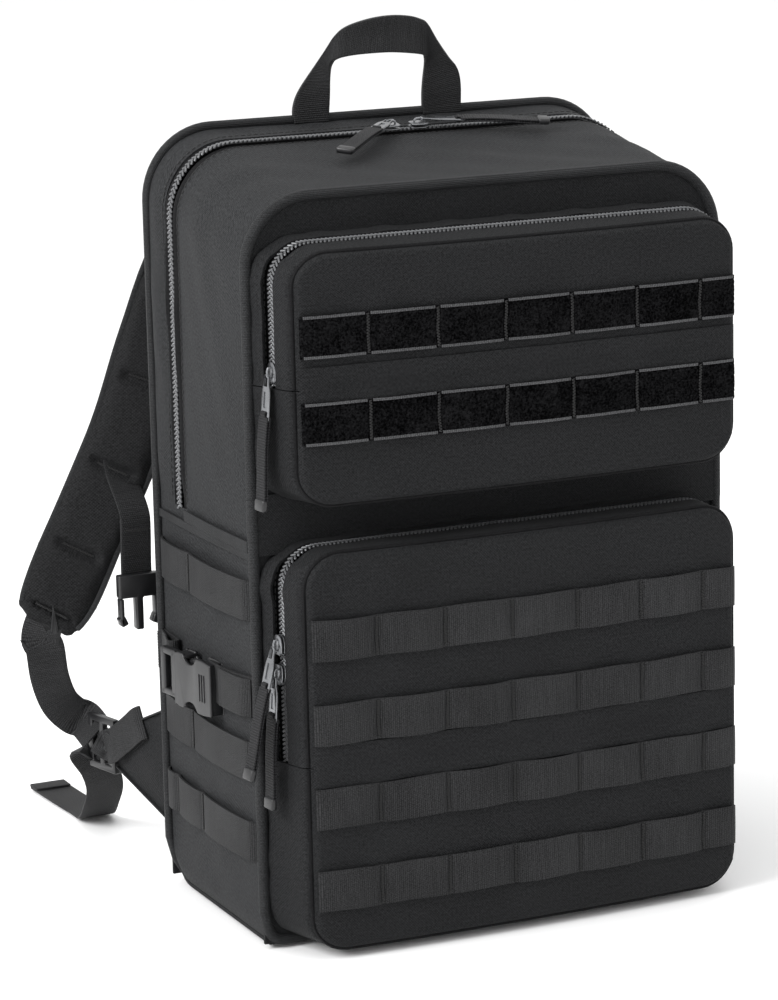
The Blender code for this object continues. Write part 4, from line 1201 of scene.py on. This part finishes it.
def makeSideStraps(side, sign):  # webbing into the housing, and from the back seam round the plug's bar
    b = sideBuckle
    for route, steps, width, thickness, cup, name, stands in (
            (frontStrap, 6, b["strapHeight"], 0.0015, 0.0004, "compressionStrap_", ["compression_strap_" + side]),
            (frontLap, 5, b["strapHeight"] - 0.001, 0.0014, 0.0, "compressionLap_", ()),
            (rearStrap, 5, b["strapHeight"] - 0.0006, 0.0013, 0.0, "buckleAnchor_", ())):
        points = [(sign * (pack["half"] + off), y, b["strapMiddle"] + up) for off, y, up in route]
        line = curvePoints(points, steps)
        strap = ribbon(line, (0, 0, 1), width, thickness, cup)
        finishPiece(strap, name + side, webbing, "root", stands)
    points = lineOf(9, lambda t: (sign * (pack["half"] + 0.0070), 0.0655, b["strapMiddle"] - 0.0115 + 0.023 * t))
    bartack(points, (sign, 0, 0), "buckleAnchorTack_" + side, "root", 0.0018)


def jointOf(name):
    return next(j for j in frame["joints"] if j["name"] == name)


def middleOf(node):
    vertices = frame["nodes"][node].data.vertices
    return sum((v.co for v in vertices), Vector()) / len(vertices)


def squareTo(way, axis):  # the part of a way that is square to the axis
    return (way - axis * way.dot(axis)).normalized()


def pullFrame(node, joint):
    pivot, axis = Vector(jointOf(joint)["pos_m"]), Vector(jointOf(joint)["axis"]).normalized()
    along = squareTo((middleOf(node) - pivot).normalized(), axis)
    return frameAt(pivot, along, axis.cross(along)), pivot


zipPull = dict(tab=0.0285, tabWidth=0.0086, neck=0.0050, thickness=0.0014, tape=0.0520, tapeWidth=0.0098,
               slotBack=0.0042, sink=0.0022)
sliderEdge = ((-0.0062, 0.0030), (-0.0045, 0.0044), (0.0010, 0.0046), (0.0045, 0.0036), (0.0062, 0.0016))
sliderBridge = ((-0.0036, 0, 0.0030), (-0.0034, 0, 0.0046), (-0.0020, 0, 0.0056), (0.0010, 0, 0.0057),
                (0.0028, 0, 0.0049), (0.0034, 0, 0.0031))
tapeFold = ((0.0010, 0, 0.0012), (-0.0008, 0, 0.0016), (-0.0019, 0, 0.0004), (-0.0008, 0, -0.0012),
            (0.0040, 0, -0.0011))


def bothEdges(edge):
    return list(edge) + [(x, -y) for x, y in reversed(edge)]


def makePullTab(base, body, node, label):
    p = zipPull
    w, n = p["tabWidth"] / 2, p["neck"] / 2
    edge = [(0.0008, n * 0.7), (0.0020, n), (0.0060, n * 1.05), (0.0100, w * 0.92), (0.0130, w),
            (p["tab"] - 0.0015, w), (p["tab"], w * 0.8)]
    plate = roundedPlate(bothEdges(edge), p["thickness"], 0.0003, 2)
    for size, place in (((0.0065, 0.0036, 0.01), (0.0045, 0, 0)),  # hole, slot and groove
                        ((0.0032, 0.0060, 0.01), (p["tab"] - p["slotBack"], 0, 0)),
                        ((0.0095, 0.0030, 0.002), (0.0155, 0, 0.0012))):
        cutter = bar(size, place)
        useModifier(plate, "BOOLEAN", operation="DIFFERENCE", object=cutter)
        bpy.data.objects.remove(cutter, do_unlink=True)
    plate.data.transform(base)
    finishPiece(plate, "pullTab_" + label, metal, body, [node], 30)


def makePullTape(base, body, label):  # ribbed tape folded through the tab's slot, with a sewn end
    start, width, length = zipPull["tab"] - zipPull["slotBack"], zipPull["tapeWidth"], zipPull["tape"]
    fold = curvePoints([(start + x, y, z) for x, y, z in tapeFold], 4)
    layers = [ribbon(fold, (0, 1, 0), 0.0052, 0.0009)]
    for height in (0.0009, -0.0009):
        points = lineOf(27, lambda t: (start + 0.001 + (length + 0.003) * t, 0,
                                       height * (1 - 0.25 * math.sin(math.pi * t)) + 0.0006 * math.sin(t * 5)))
        layers.append(ribbon(points, (0, 1, 0), width, 0.0011))
    end = bar((0.0070, width + 0.0006, 0.0034), (start + length + 0.0012, 0, 0.0), bevel=0.0012, segments=3)
    tape = joinAll(layers)
    tape.data.transform(base)
    end.data.transform(base)
    finishPiece(tape, "pullTape_" + label, tapeRib, body, (), 50)
    finishPiece(end, "pullEnd_" + label, plastic, body, (), 40)


def makeSlider(pivot, node, body, label):  # two plates, the nose post between them and a bridge for the tab
    center, travel = middleOf(node), Vector(jointOf(node + "_travel")["axis"]).normalized()
    off = squareTo((pivot - center).normalized(), travel)
    parts = []
    for thickness, bevel, height in ((0.0012, 0.0004, 0.0026), (0.0009, 0.0003, 0.0006)):
        plate = roundedPlate(bothEdges(sliderEdge), thickness, bevel, 2)
        plate.location = (0, 0, height)
        settle(plate)
        parts.append(plate)
    parts.append(bar((0.0030, 0.0018, 0.0030), (0.0040, 0, 0.0016), bevel=0.0004, segments=2))
    parts.append(tube([Vector(point) for point in sliderBridge], 0.00075, sides=8))
    slider = joinAll(parts)
    slider.data.transform(frameAt(center - off * zipPull["sink"], travel, off))
    clean(slider)
    finishPiece(slider, "slider_" + label, metal, body, [node], 30)


def makePull(node, slider, label):
    base, pivot = pullFrame(node, node + "_lift")
    makePullTab(base, node, node, label)
    makePullTape(base, node, label)
    makeSlider(pivot, slider, slider, label)


def makeHardware():
    for side, sign in bothWays:
        makeSideBuckle(side, sign)
        makePull("main_pull_" + side, "main_slider_" + side, "main_" + side)
    for label in ("upper", "lower_a", "lower_b"):
        makePull("pull_" + label, "slider_" + label, label)
    print("buckles, sliders and pulls made")


# handle and straps

grab = dict(y=0.069, depth=0.0034, roll=0.0052, width=0.025, edges=(  # outer edge x and z, inner edge x and z
    (-0.0594, 0.4745, -0.0361, 0.4745), (-0.0593, 0.4840, -0.0356, 0.4850), (-0.0549, 0.4943, -0.0352, 0.4950),
    (-0.0430, 0.5096, -0.0349, 0.5066), (-0.0345, 0.5214, -0.0345, 0.5109), (-0.0289, 0.5291, -0.0320, 0.5129),
    (-0.0207, 0.5335, -0.0246, 0.5143), (-0.0070, 0.5367, -0.0110, 0.5150), (0.0067, 0.5378, 0.0048, 0.5150),
    (0.0190, 0.5368, 0.0164, 0.5140), (0.0265, 0.5345, 0.0253, 0.5127), (0.0312, 0.5312, 0.0304, 0.5113),
    (0.0380, 0.5208, 0.0318, 0.5090), (0.0467, 0.5090, 0.0314, 0.5040), (0.0522, 0.5024, 0.0301, 0.4963),
    (0.0547, 0.4922, 0.0289, 0.4870), (0.0548, 0.4745, 0.0285, 0.4745)))


def handleRoll(share):  # the strap turns over at each top corner
    if share < 0.42:
        return math.sin(math.pi * share / 0.42)
    return -math.sin(math.pi * (1 - share) / 0.42) if share > 0.58 else 0.0


def makeHandle():
    outer = curvePoints([(a, 0, b) for a, b, _, _ in grab["edges"]], 5)
    inner = curvePoints([(c, 0, d) for _, _, c, d in grab["edges"]], 5)
    last, lengths = len(outer) - 1, runLengths(outer)

    def place(u, v):
        i = round(v * last)
        point = inner[i].lerp(outer[i], u)
        front = ease(i / last, 0.16, 0.34) * (1 - ease(i / last, 0.66, 0.80))  # the legs lie behind the top part
        y = grab["y"] + grab["depth"] * (0.5 - front) + grab["roll"] * handleRoll(i / last) * (u - 0.5)
        return point.x, y + 0.0010 * math.sin(math.pi * u), point.z

    strap = formGrid(8, last, place)
    placeUv(strap, lambda u, v: (u * grab["width"], lengths[round(v * last)]))
    thicken(strap, 0.0030)
    roundEdges(strap, 0.0008)
    finishPiece(strap, "grabHandle", webbing, "handle", ["grab_handle"], 50)
    tacks = []
    for x in (-0.0475, 0.0415):
        for z in (0.4830, 0.4865):
            points = lineOf(9, lambda t: (x - 0.0095 + 0.019 * t, grab["y"] + 0.0034, z))
            tacks.append(bartack(points, (0, 1, 0), "tack", None, 0.0016))
    joinTacks(tacks, "handleTacks", "handle")
    print("handle made")


# out from the anchor, back from the pack, share of the height and turn in degrees
padRoute = [(0, 0.013, 0.9265, 0), (0.03, 0.022, 0.8866, 8), (0.06, 0.031, 0.8151, 20), (0.077, 0.041, 0.7143, 28),
            (0.09, 0.052, 0.6134, 30), (0.105, 0.062, 0.5252, 30), (0.124, 0.071, 0.4307, 30),
            (0.14, 0.077, 0.3571, 30), (0.149, 0.081, 0.3193, 30)]
shoulder = dict(anchor=0.060, width=0.0575, thickness=0.0092, voxel=0.0042, pressure=4.0, swell=0.0030, frames=20,
                sew=(0.44, 0.60, 0.75, 0.90), run=0.42, dent=0.0042)
strapPlaces = dict(lockReach=0.056, lean=0.013, lockHeight=0.075, lockLength=0.030, clearance=0.005, webbing=0.025)
wingShape = dict(reach=0.055, top=(0.112, 0.087), low=(0.040, 0.063), thickness=0.0030, bow=0.0020)
strapBow = [(0.30, 0.0052, 0.005), (0.58, 0.0066, 0.008), (0.82, 0.0036, 0.006)]  # share, bow outward, sag
# out from the lock, back from it and share of its height
tailRoute = [(0.0005, 0.002, 0.90), (-0.007, 0.009, 0.68), (-0.012, 0.022, 0.43), (-0.015, 0.040, 0.19),
             (-0.018, 0.058, 0.035), (-0.019, 0.075, 0.006), (-0.017, 0.105, 0.006), (-0.015, 0.146, 0.006)]


def bothSides(piece, name, material, body, stands=(), angle=45):  # the left piece and its mirror
    twin = mirrorCopy(piece)
    for side, part in (("left", piece), ("right", twin)):
        finishPiece(part, f"{name}_{side}", material, body.format(side=side) if body else None,
                    [node.format(side=side) for node in stands], angle)
    return piece, twin


def padFrames(steps=6):
    line = curvePoints([(-shoulder["anchor"] - o, pack["back"] + b, pack["backTop"] * s) for o, b, s, _ in padRoute],
                       steps)
    turns = curvePoints([(t, 0, 0) for _, _, _, t in padRoute], steps)
    made = []
    for i, point in enumerate(line):
        along = (line[min(i + 1, len(line) - 1)] - line[max(i - 1, 0)]).normalized()
        turn = math.radians(turns[i].x)
        back = Vector((math.sin(turn), math.cos(turn), 0))
        side = back.cross(along).normalized()
        made.append((point, side, along.cross(side).normalized(), along, i / (len(line) - 1)))
    return made


def blowUp(piece, voxel, pressure, frames, cap):  # padding swells under its cover
    useModifier(piece, "REMESH", mode="VOXEL", voxel_size=voxel)
    rest = [v.co.copy() for v in piece.data.vertices]
    choose(piece)
    cloth = piece.modifiers.new("cloth", "CLOTH")
    cloth.settings.use_pressure = True
    cloth.settings.uniform_pressure_force = pressure
    cloth.settings.effector_weights.gravity = 0
    cloth.settings.quality = 5
    cloth.settings.tension_stiffness = 12
    cloth.settings.bending_stiffness = 0.6
    cloth.point_cache.frame_start, cloth.point_cache.frame_end = 1, frames
    for number in range(1, frames + 1):
        bpy.context.scene.frame_set(number)
    choose(piece)
    bpy.ops.object.modifier_apply(modifier=cloth.name)
    bpy.context.scene.frame_set(1)
    for vertex, home in zip(piece.data.vertices, rest):
        move = vertex.co - home
        if move.length > cap:
            vertex.co = home + move.normalized() * cap
    useModifier(piece, "SMOOTH", factor=0.5, iterations=4)
    useModifier(piece, "SUBSURF", levels=1, render_levels=1)
    return piece


def padSleeve(frames):
    last = len(frames) - 1

    def place(u, v):
        point, side, back, _, t = frames[round(v * last)]
        half = shoulder["width"] / 2 * (1 - 0.22 * ease(t, 0.80, 0.98))
        if t > 0.95:
            half *= math.sqrt(max(0.02, 1 - ((t - 0.95) / 0.052) ** 2 * 0.92))
        c, s = math.cos(2 * math.pi * u), math.sin(2 * math.pi * u)
        rise = math.copysign(abs(s) ** 0.75, s) * shoulder["thickness"] / 2 * (1 - 0.3 * ease(t, 0.9, 1.0))
        return point + side * (math.copysign(abs(c) ** 0.55, c) * half) + back * rise

    sleeve = formGrid(40, last, place)
    clean(sleeve, 1e-5)
    with editing(sleeve):
        bpy.ops.mesh.select_mode(type="EDGE")
        bpy.ops.mesh.select_all(action="DESELECT")
        bpy.ops.mesh.select_non_manifold()
        bpy.ops.mesh.fill()
        bpy.ops.mesh.select_all(action="SELECT")
        bpy.ops.mesh.normals_make_consistent(inside=False)
    return blowUp(sleeve, shoulder["voxel"], shoulder["pressure"], shoulder["frames"], shoulder["swell"])


def sewPad(pad, frames):  # dents across the pad, and edges drawn in
    for vertex in pad.data.vertices:
        point, side, back, along, share = min(frames, key=lambda f: (f[0] - vertex.co).length_squared)
        off = vertex.co - point
        t = share + off.dot(along) / shoulder["run"]
        across, rise = off.dot(side), off.dot(back)
        dent = sum(math.exp(-((t - at) / 0.009) ** 2) for at in shoulder["sew"])
        dent *= 1 - ease(abs(across), 0.010, 0.019)
        edge = ease(abs(across), shoulder["width"] / 2 - 0.009, shoulder["width"] / 2 - 0.003)
        wave = 0.0007 * softWave(t * shoulder["run"], across, 3.3, 0.02)
        sink = min(abs(rise) * 0.85, shoulder["dent"] * dent + abs(rise) * 0.18 * edge) - wave * (1 - edge)
        vertex.co -= back * math.copysign(sink, rise)


def padReach(pad, frames):  # how far the pad reaches to each side, evened out along it
    reach = {}
    for vertex in pad.data.vertices:
        index = min(range(len(frames)), key=lambda i: (frames[i][0] - vertex.co).length_squared)
        across = (vertex.co - frames[index][0]).dot(frames[index][1])
        low, high = reach.get(index, (0.0, 0.0))
        reach[index] = (min(low, across), max(high, across))
    keys = sorted(reach)
    for _ in range(6):
        before = [reach[keys[max(0, n - 1)]] for n in range(len(keys))]
        after = [reach[keys[min(len(keys) - 1, n + 1)]] for n in range(len(keys))]
        reach = {key: tuple((before[n][e] + reach[key][e] * 2 + after[n][e]) / 4 for e in (0, 1))
                 for n, key in enumerate(keys)}
    return reach


def makeShoulderPad():
    frames = padFrames()
    pad = padSleeve(frames)
    sewPad(pad, frames)
    boxUv(pad)
    pads = bothSides(pad, "shoulderPad", padFabric, "shoulder_{side}", ["shoulder_pad_{side}"], 60)
    # binding along both edges, and short tacks over the dents
    reach, bands, tacks = padReach(pad, frames), [], []
    for edge, inset in ((0, 0.0012), (1, -0.0012)):
        held = [(point + side * (reach[index][edge] + inset), back)
                for index, (point, side, back, _, t) in enumerate(frames) if 0.01 < t < 0.93 and index in reach]
        bands.append(ribbon([point for point, _ in held], [back for _, back in held], 0.0066, 0.0034))
    for at in shoulder["sew"]:
        point, side, back, _, _ = min(frames, key=lambda f: abs(f[4] - at))
        for face in (-1, 1):
            points = lineOf(7, lambda t: point + side * (0.011 * (2 * t - 1))
                            + back * face * (shoulder["thickness"] / 2 - 0.0006))
            tacks.append(bartack(points, back * face, "tack", None, 0.0016))
    bothSides(joinAll(bands), "padBinding", binding, "shoulder_{side}", (), 40)
    bothSides(joinAll(tacks), "padTacks", thread, "shoulder_{side}", (), 40)
    print("shoulder pads made")


def wingX(y):  # the wing leans outward from the pack's edge
    return -pack["half"] - strapPlaces["lean"] * (y - pack["back"]) / wingShape["reach"]


def lockPlace():
    along = Vector((-strapPlaces["lean"], wingShape["reach"], 0)).normalized()
    y = pack["back"] + strapPlaces["lockReach"]
    return Vector((wingX(y), y, strapPlaces["lockHeight"])), along


def makeLowerStrap(tip, across, tipWay, goal, along, inside):
    # webbing from the pad's tip to the ladder lock
    drop = tip + Vector((0.0030, 0.001, -0.0125))
    route = [tip - tipWay * 0.020, tip - tipWay * 0.005, tip + tipWay * 0.002 + (drop - tip) * 0.35, drop]
    route += [drop.lerp(goal, share) + Vector((-bow * 0.9, bow * 0.4, -sag)) for share, bow, sag in strapBow]
    route += [goal - along * 0.002 + Vector((-0.002, 0, 0)), inside + Vector((-0.0035, 0.002, 0.006))]
    facing = Vector((0.41, 0.89, -0.21))
    ways = [across, across]
    for a, b in zip(route[1:], route[3:]):
        way = (b - a).normalized().cross(facing).normalized()
        ways.append(way if way.dot(ways[-1]) > 0 else -way)
    ways.append(ways[-1])
    strap = ribbon(curvePoints(route, 7), curvePoints(ways, 7), strapPlaces["webbing"], 0.0015, 0.0003)
    straps = bothSides(strap, "lowerStrap", webbing, None, ["lower_strap_{side}"])
    start = tip + tipWay * 0.006
    for (side, way), piece in zip(bothWays, straps):
        "shoulder_" + side
        -way * start.x
        -way * goal.x
        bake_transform(piece)


def makeTail(end, inside):  # free end, back through the lock and down to the floor
    upright, lying, width = Vector((0, 0, 1)), Vector((1, 0, 0)), strapPlaces["webbing"]
    tail = [inside + Vector((0.0035, 0, -0.004)), end + Vector((0.004, -0.004, -0.003))]
    tail += [Vector((end.x - out + 0.007 * min(1, i / 2), end.y + back, max(end.z * share, 0.0009)))
             for i, (out, back, share) in enumerate(tailRoute)]
    ways = [upright, upright * 0.9 + lying * 0.4, upright * 0.55 + lying * 0.8, upright * 0.2 + lying]
    ways += [lying] * (len(tail) - 4)
    strap = ribbon(curvePoints(tail, 7), curvePoints(ways, 7), width, 0.0014, 0.0003)
    bothSides(strap, "strapTail", webbing, "root", ["strap_tail_{side}"])
    hem = bar((width, 0.014, 0.0020), (tail[-1].x, tail[-1].y - 0.0060, 0.0022), bevel=0.0007, segments=2)
    boxUv(hem)
    bothSides(hem, "tailHem", webbing, "root")


def makeWing():  # sewn triangle with bound edges
    (top0, top1), (low0, low1) = wingShape["top"], wingShape["low"]

    def place(u, v):
        y = pack["back"] - 0.0008 + (wingShape["reach"] + 0.0008) * u
        high, low = top0 + (top1 - top0) * u, low0 + (low1 - low0) * u
        bow = wingShape["bow"] * math.sin(math.pi * v) * math.sin(math.pi * u * 0.7 + 0.4)
        return wingX(y) + 0.0012 - bow + 0.0008 * softWave(y, v * 0.07, 1.1, 0.02), y, low + (high - low) * v

    wing = formGrid(22, 22, place)
    thicken(wing, wingShape["thickness"])
    roundEdges(wing, 0.0009)
    boxUv(wing)
    bothSides(wing, "strapWing", fabric, "root", ["strap_wing_{side}"])
    for label, (z0, z1) in (("Top", wingShape["top"]), ("Low", wingShape["low"])):
        points = []
        for i in range(17):
            y = pack["back"] - 0.0005 + (wingShape["reach"] + 0.0005) * i / 16
            points.append(Vector((wingX(y) + 0.0008, y, z0 + (z1 - z0) * i / 16)))
        bothSides(ribbon(points, (1, 0, 0), 0.0058, 0.0012), "wingBinding" + label, binding, "root")


def makeLockLoop(top, along):  # loop of webbing that holds the lock's bar
    climb, off = Vector((0.0105, -0.0330, 0.0245)).normalized(), Vector((-1, 0, 0))
    loop = [top + way * reach + off * out for way, reach, out in (
        (along, 0.0052, 0.0010), (along, 0.0040, 0.0046), (climb, 0.008, 0.0056), (climb, 0.026, 0.0056),
        (climb, 0.037, 0.0064), (climb, 0.041, 0.0042), (climb, 0.037, 0.0022), (climb, 0.020, 0.0024))]
    width = climb.cross(off).normalized()
    ways = [Vector((0, 0, 1)).lerp(width, min(1.0, i / 8)) for i in range(36)]
    bothSides(ribbon(curvePoints(loop, 5), ways, 0.0225, 0.0014), "lockLoop", webbing, "root")


def makeStraps():
    tip, across, _, tipWay, _ = padFrames()[-1]
    top, along = lockPlace()
    end = top + along * (strapPlaces["lockLength"] + strapPlaces["clearance"])
    inside = top + along * (strapPlaces["lockLength"] * 0.55)
    makeLowerStrap(tip, across, tipWay, end + Vector((0, 0, 0.012)), along, inside)
    makeTail(end, inside)
    makeWing()
    makeLockLoop(top, along)
    for side, _ in bothWays:
        softCopy("ladder_lock_" + side, "ladderLock_" + side, "ladder_lock_" + side, 0.0010)
    print("lower straps made")


chest = dict(x=0.1595, y=0.1082, top=0.262, length=0.068, width=0.0200, tuck=0.0260, tackDown=0.040, buckleX=0.157)


def makeChestProng(label, plugMiddle, shift):
    low, high = (Vector(c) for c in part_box("chest_prong_" + label))
    center, (wide, deep, tall) = (low + high) / 2, high - low
    way = 1 if center.x > plugMiddle else -1
    arm = bar((wide * 0.62, deep, tall * 0.92), (center.x + way * wide * 0.12, center.y, center.z + tall * 0.04),
              bevel=0.0007, segments=2)
    tip = bar((wide * 1.15, deep, tall * 0.32), (center.x - way * wide * 0.05, center.y, low.z + tall * 0.22),
              (0, math.radians(24 * way), 0), 0.0010, 3)
    prong = joinAll([arm, tip])
    prong.data.transform(shift)
    clean(prong)
    plasticPiece(prong, "chestProng_" + label, "chest_prong_" + label, "chest_prong_" + label)


def makeChest():
    c, width = chest, chest["width"]
    for side, sign in bothWays:
        x, points = sign * c["x"], []
        for i in range(25):
            z = c["top"] + 0.004 - (c["length"] + 0.006) * i / 24
            y = c["y"] + 0.0007 * math.sin(i * 0.35) + c["tuck"] * ease(z, 0.228, 0.262)
            points.append(Vector((x, y, z)))
        strap = ribbon(points, (1, 0, 0), width, 0.0014)
        finishPiece(strap, "chestStrap_" + side, webbing, "chest_" + side, ["chest_strap_" + side])
        under = ribbon([p + Vector((0, 0.0022, 0)) for p in points[12:]], (1, 0, 0), width - 0.0006, 0.0013)
        finishPiece(under, "chestLap_" + side, webbing, "chest_" + side)
        line = lineOf(9, lambda t: (x - 0.008 + 0.016 * t, c["y"] - 0.0009, c["top"] - c["tackDown"]))
        bartack(line, (0, -1, 0), "chestTack_" + side, "chest_" + side)
    softCopy("chest_socket", "chestSocket", "chest_right", 0.0006)
    shift = Matrix.Translation((c["buckleX"] - c["x"], 0, 0))
    plugLow, plugHigh = (Vector(corner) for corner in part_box("chest_plug"))
    softCopy("chest_plug", "chestPlug", "chest_left", 0.0012).data.transform(shift)
    for label in ("inner", "outer"):
        makeChestProng(label, (plugLow.x + plugHigh.x) / 2, shift)
    print("chest strap made")


backLook = dict(left=0.126, low=0.030, high=0.392, thickness=0.0066, middle=0.0052, proud=0.0110, voxel=0.0056,
                pressure=3.0, frames=20, swell=0.0028, channels=(-0.052, 0.052), rows=(0.115, 0.205, 0.295),
                groove=0.0032, corner=0.010, piping=0.0019)
yokeLook = dict(half=0.090, low=0.404, high=0.460, puff=0.0022, stitchHalf=0.087,
                stitches=(("Top", 0.4585), ("Middle", 0.432), ("Low", 0.4055)))


def makeBackPad():  # mesh pad, sewn down in channels and rows on the side that the wearer feels
    b, middleY = backLook, pack["back"] + backLook["middle"]
    pad = bar((2 * b["left"] - 0.006, b["thickness"], b["high"] - b["low"] - 0.006),
              (0, middleY, (b["low"] + b["high"]) / 2), bevel=0.0024, segments=2)
    pad = blowUp(pad, b["voxel"], b["pressure"], b["frames"], b["swell"])
    for vertex in pad.data.vertices:
        x, y, z = vertex.co
        if y > middleY:
            groove = sum(math.exp(-((x - c) / b["groove"]) ** 2) for c in b["channels"])
            groove += sum(math.exp(-((z - r) / b["groove"]) ** 2) for r in b["rows"]) * (1 - 0.5 * min(1, groove))
            rise = (y - middleY) * (1 - 0.55 * min(1.0, groove)) + 0.0004 * softWave(x, z, 4.4, 0.03)
            vertex.co.y = min(middleY + rise, pack["back"] + b["proud"])
        else:
            vertex.co.y = max(y, pack["back"] + 0.0006)
    boxUv(pad)
    finishPiece(pad, "backPad", padMesh, "root", ["back_pad"], 60)
    corner, right = b["corner"], b["left"] + 0.0005 - b["corner"]
    top, bottom, y = b["high"] + 0.001 - corner, b["low"] - 0.001 + corner, pack["back"] + 0.0018
    ring = []
    for x, z, start in ((right, top, 0), (-right, top, 90), (-right, bottom, 180), (right, bottom, 270)):
        for i in range(7):
            a = math.radians(start + 15 * i)
            ring.append(Vector((x + corner * math.cos(a), y, z + corner * math.sin(a))))
    cordPiece(ring, b["piping"], "backPadPiping", "root", binding, True, 8)


def makeYoke():  # quilted panel that the pads are sewn into
    k = yokeLook

    def place(u, v):
        x, z = -k["half"] + 2 * k["half"] * u, k["low"] + (k["high"] - k["low"]) * v
        near = min(u, 1 - u, v, 1 - v)
        puff = k["puff"] * ease(near, 0.0, 0.14) * (1 - 0.7 * math.exp(-((v - 0.5) / 0.05) ** 2))
        return x, pack["back"] + 0.0008 + puff + 0.0003 * softWave(x, z, 2.2, 0.02), z

    yoke = formGrid(64, 26, place)
    thicken(yoke, 0.0018)
    boxUv(yoke)
    finishPiece(yoke, "shoulderYoke", fabric, "root", ["shoulder_yoke"])
    for label, z in k["stitches"]:
        points = lineOf(31, lambda t: (k["stitchHalf"] * (2 * t - 1), pack["back"] + 0.0021, z))
        stitchRow("yokeStitch" + label, points, (0, 1, 0), "root")


def makeBack():
    makeBackPad()
    makeYoke()
    print("back made")


makeCompartment()
makeMainZip()
for pocket in (pocketLower, pocketUpper):
    makePocket(pocket)
makeRows()
for pocket in (pocketLower, pocketUpper):
    leanPocket(pocket)
for make in (makeHardware, makeHandle, makeShoulderPad, makeStraps, makeChest, makeBack):
    make()
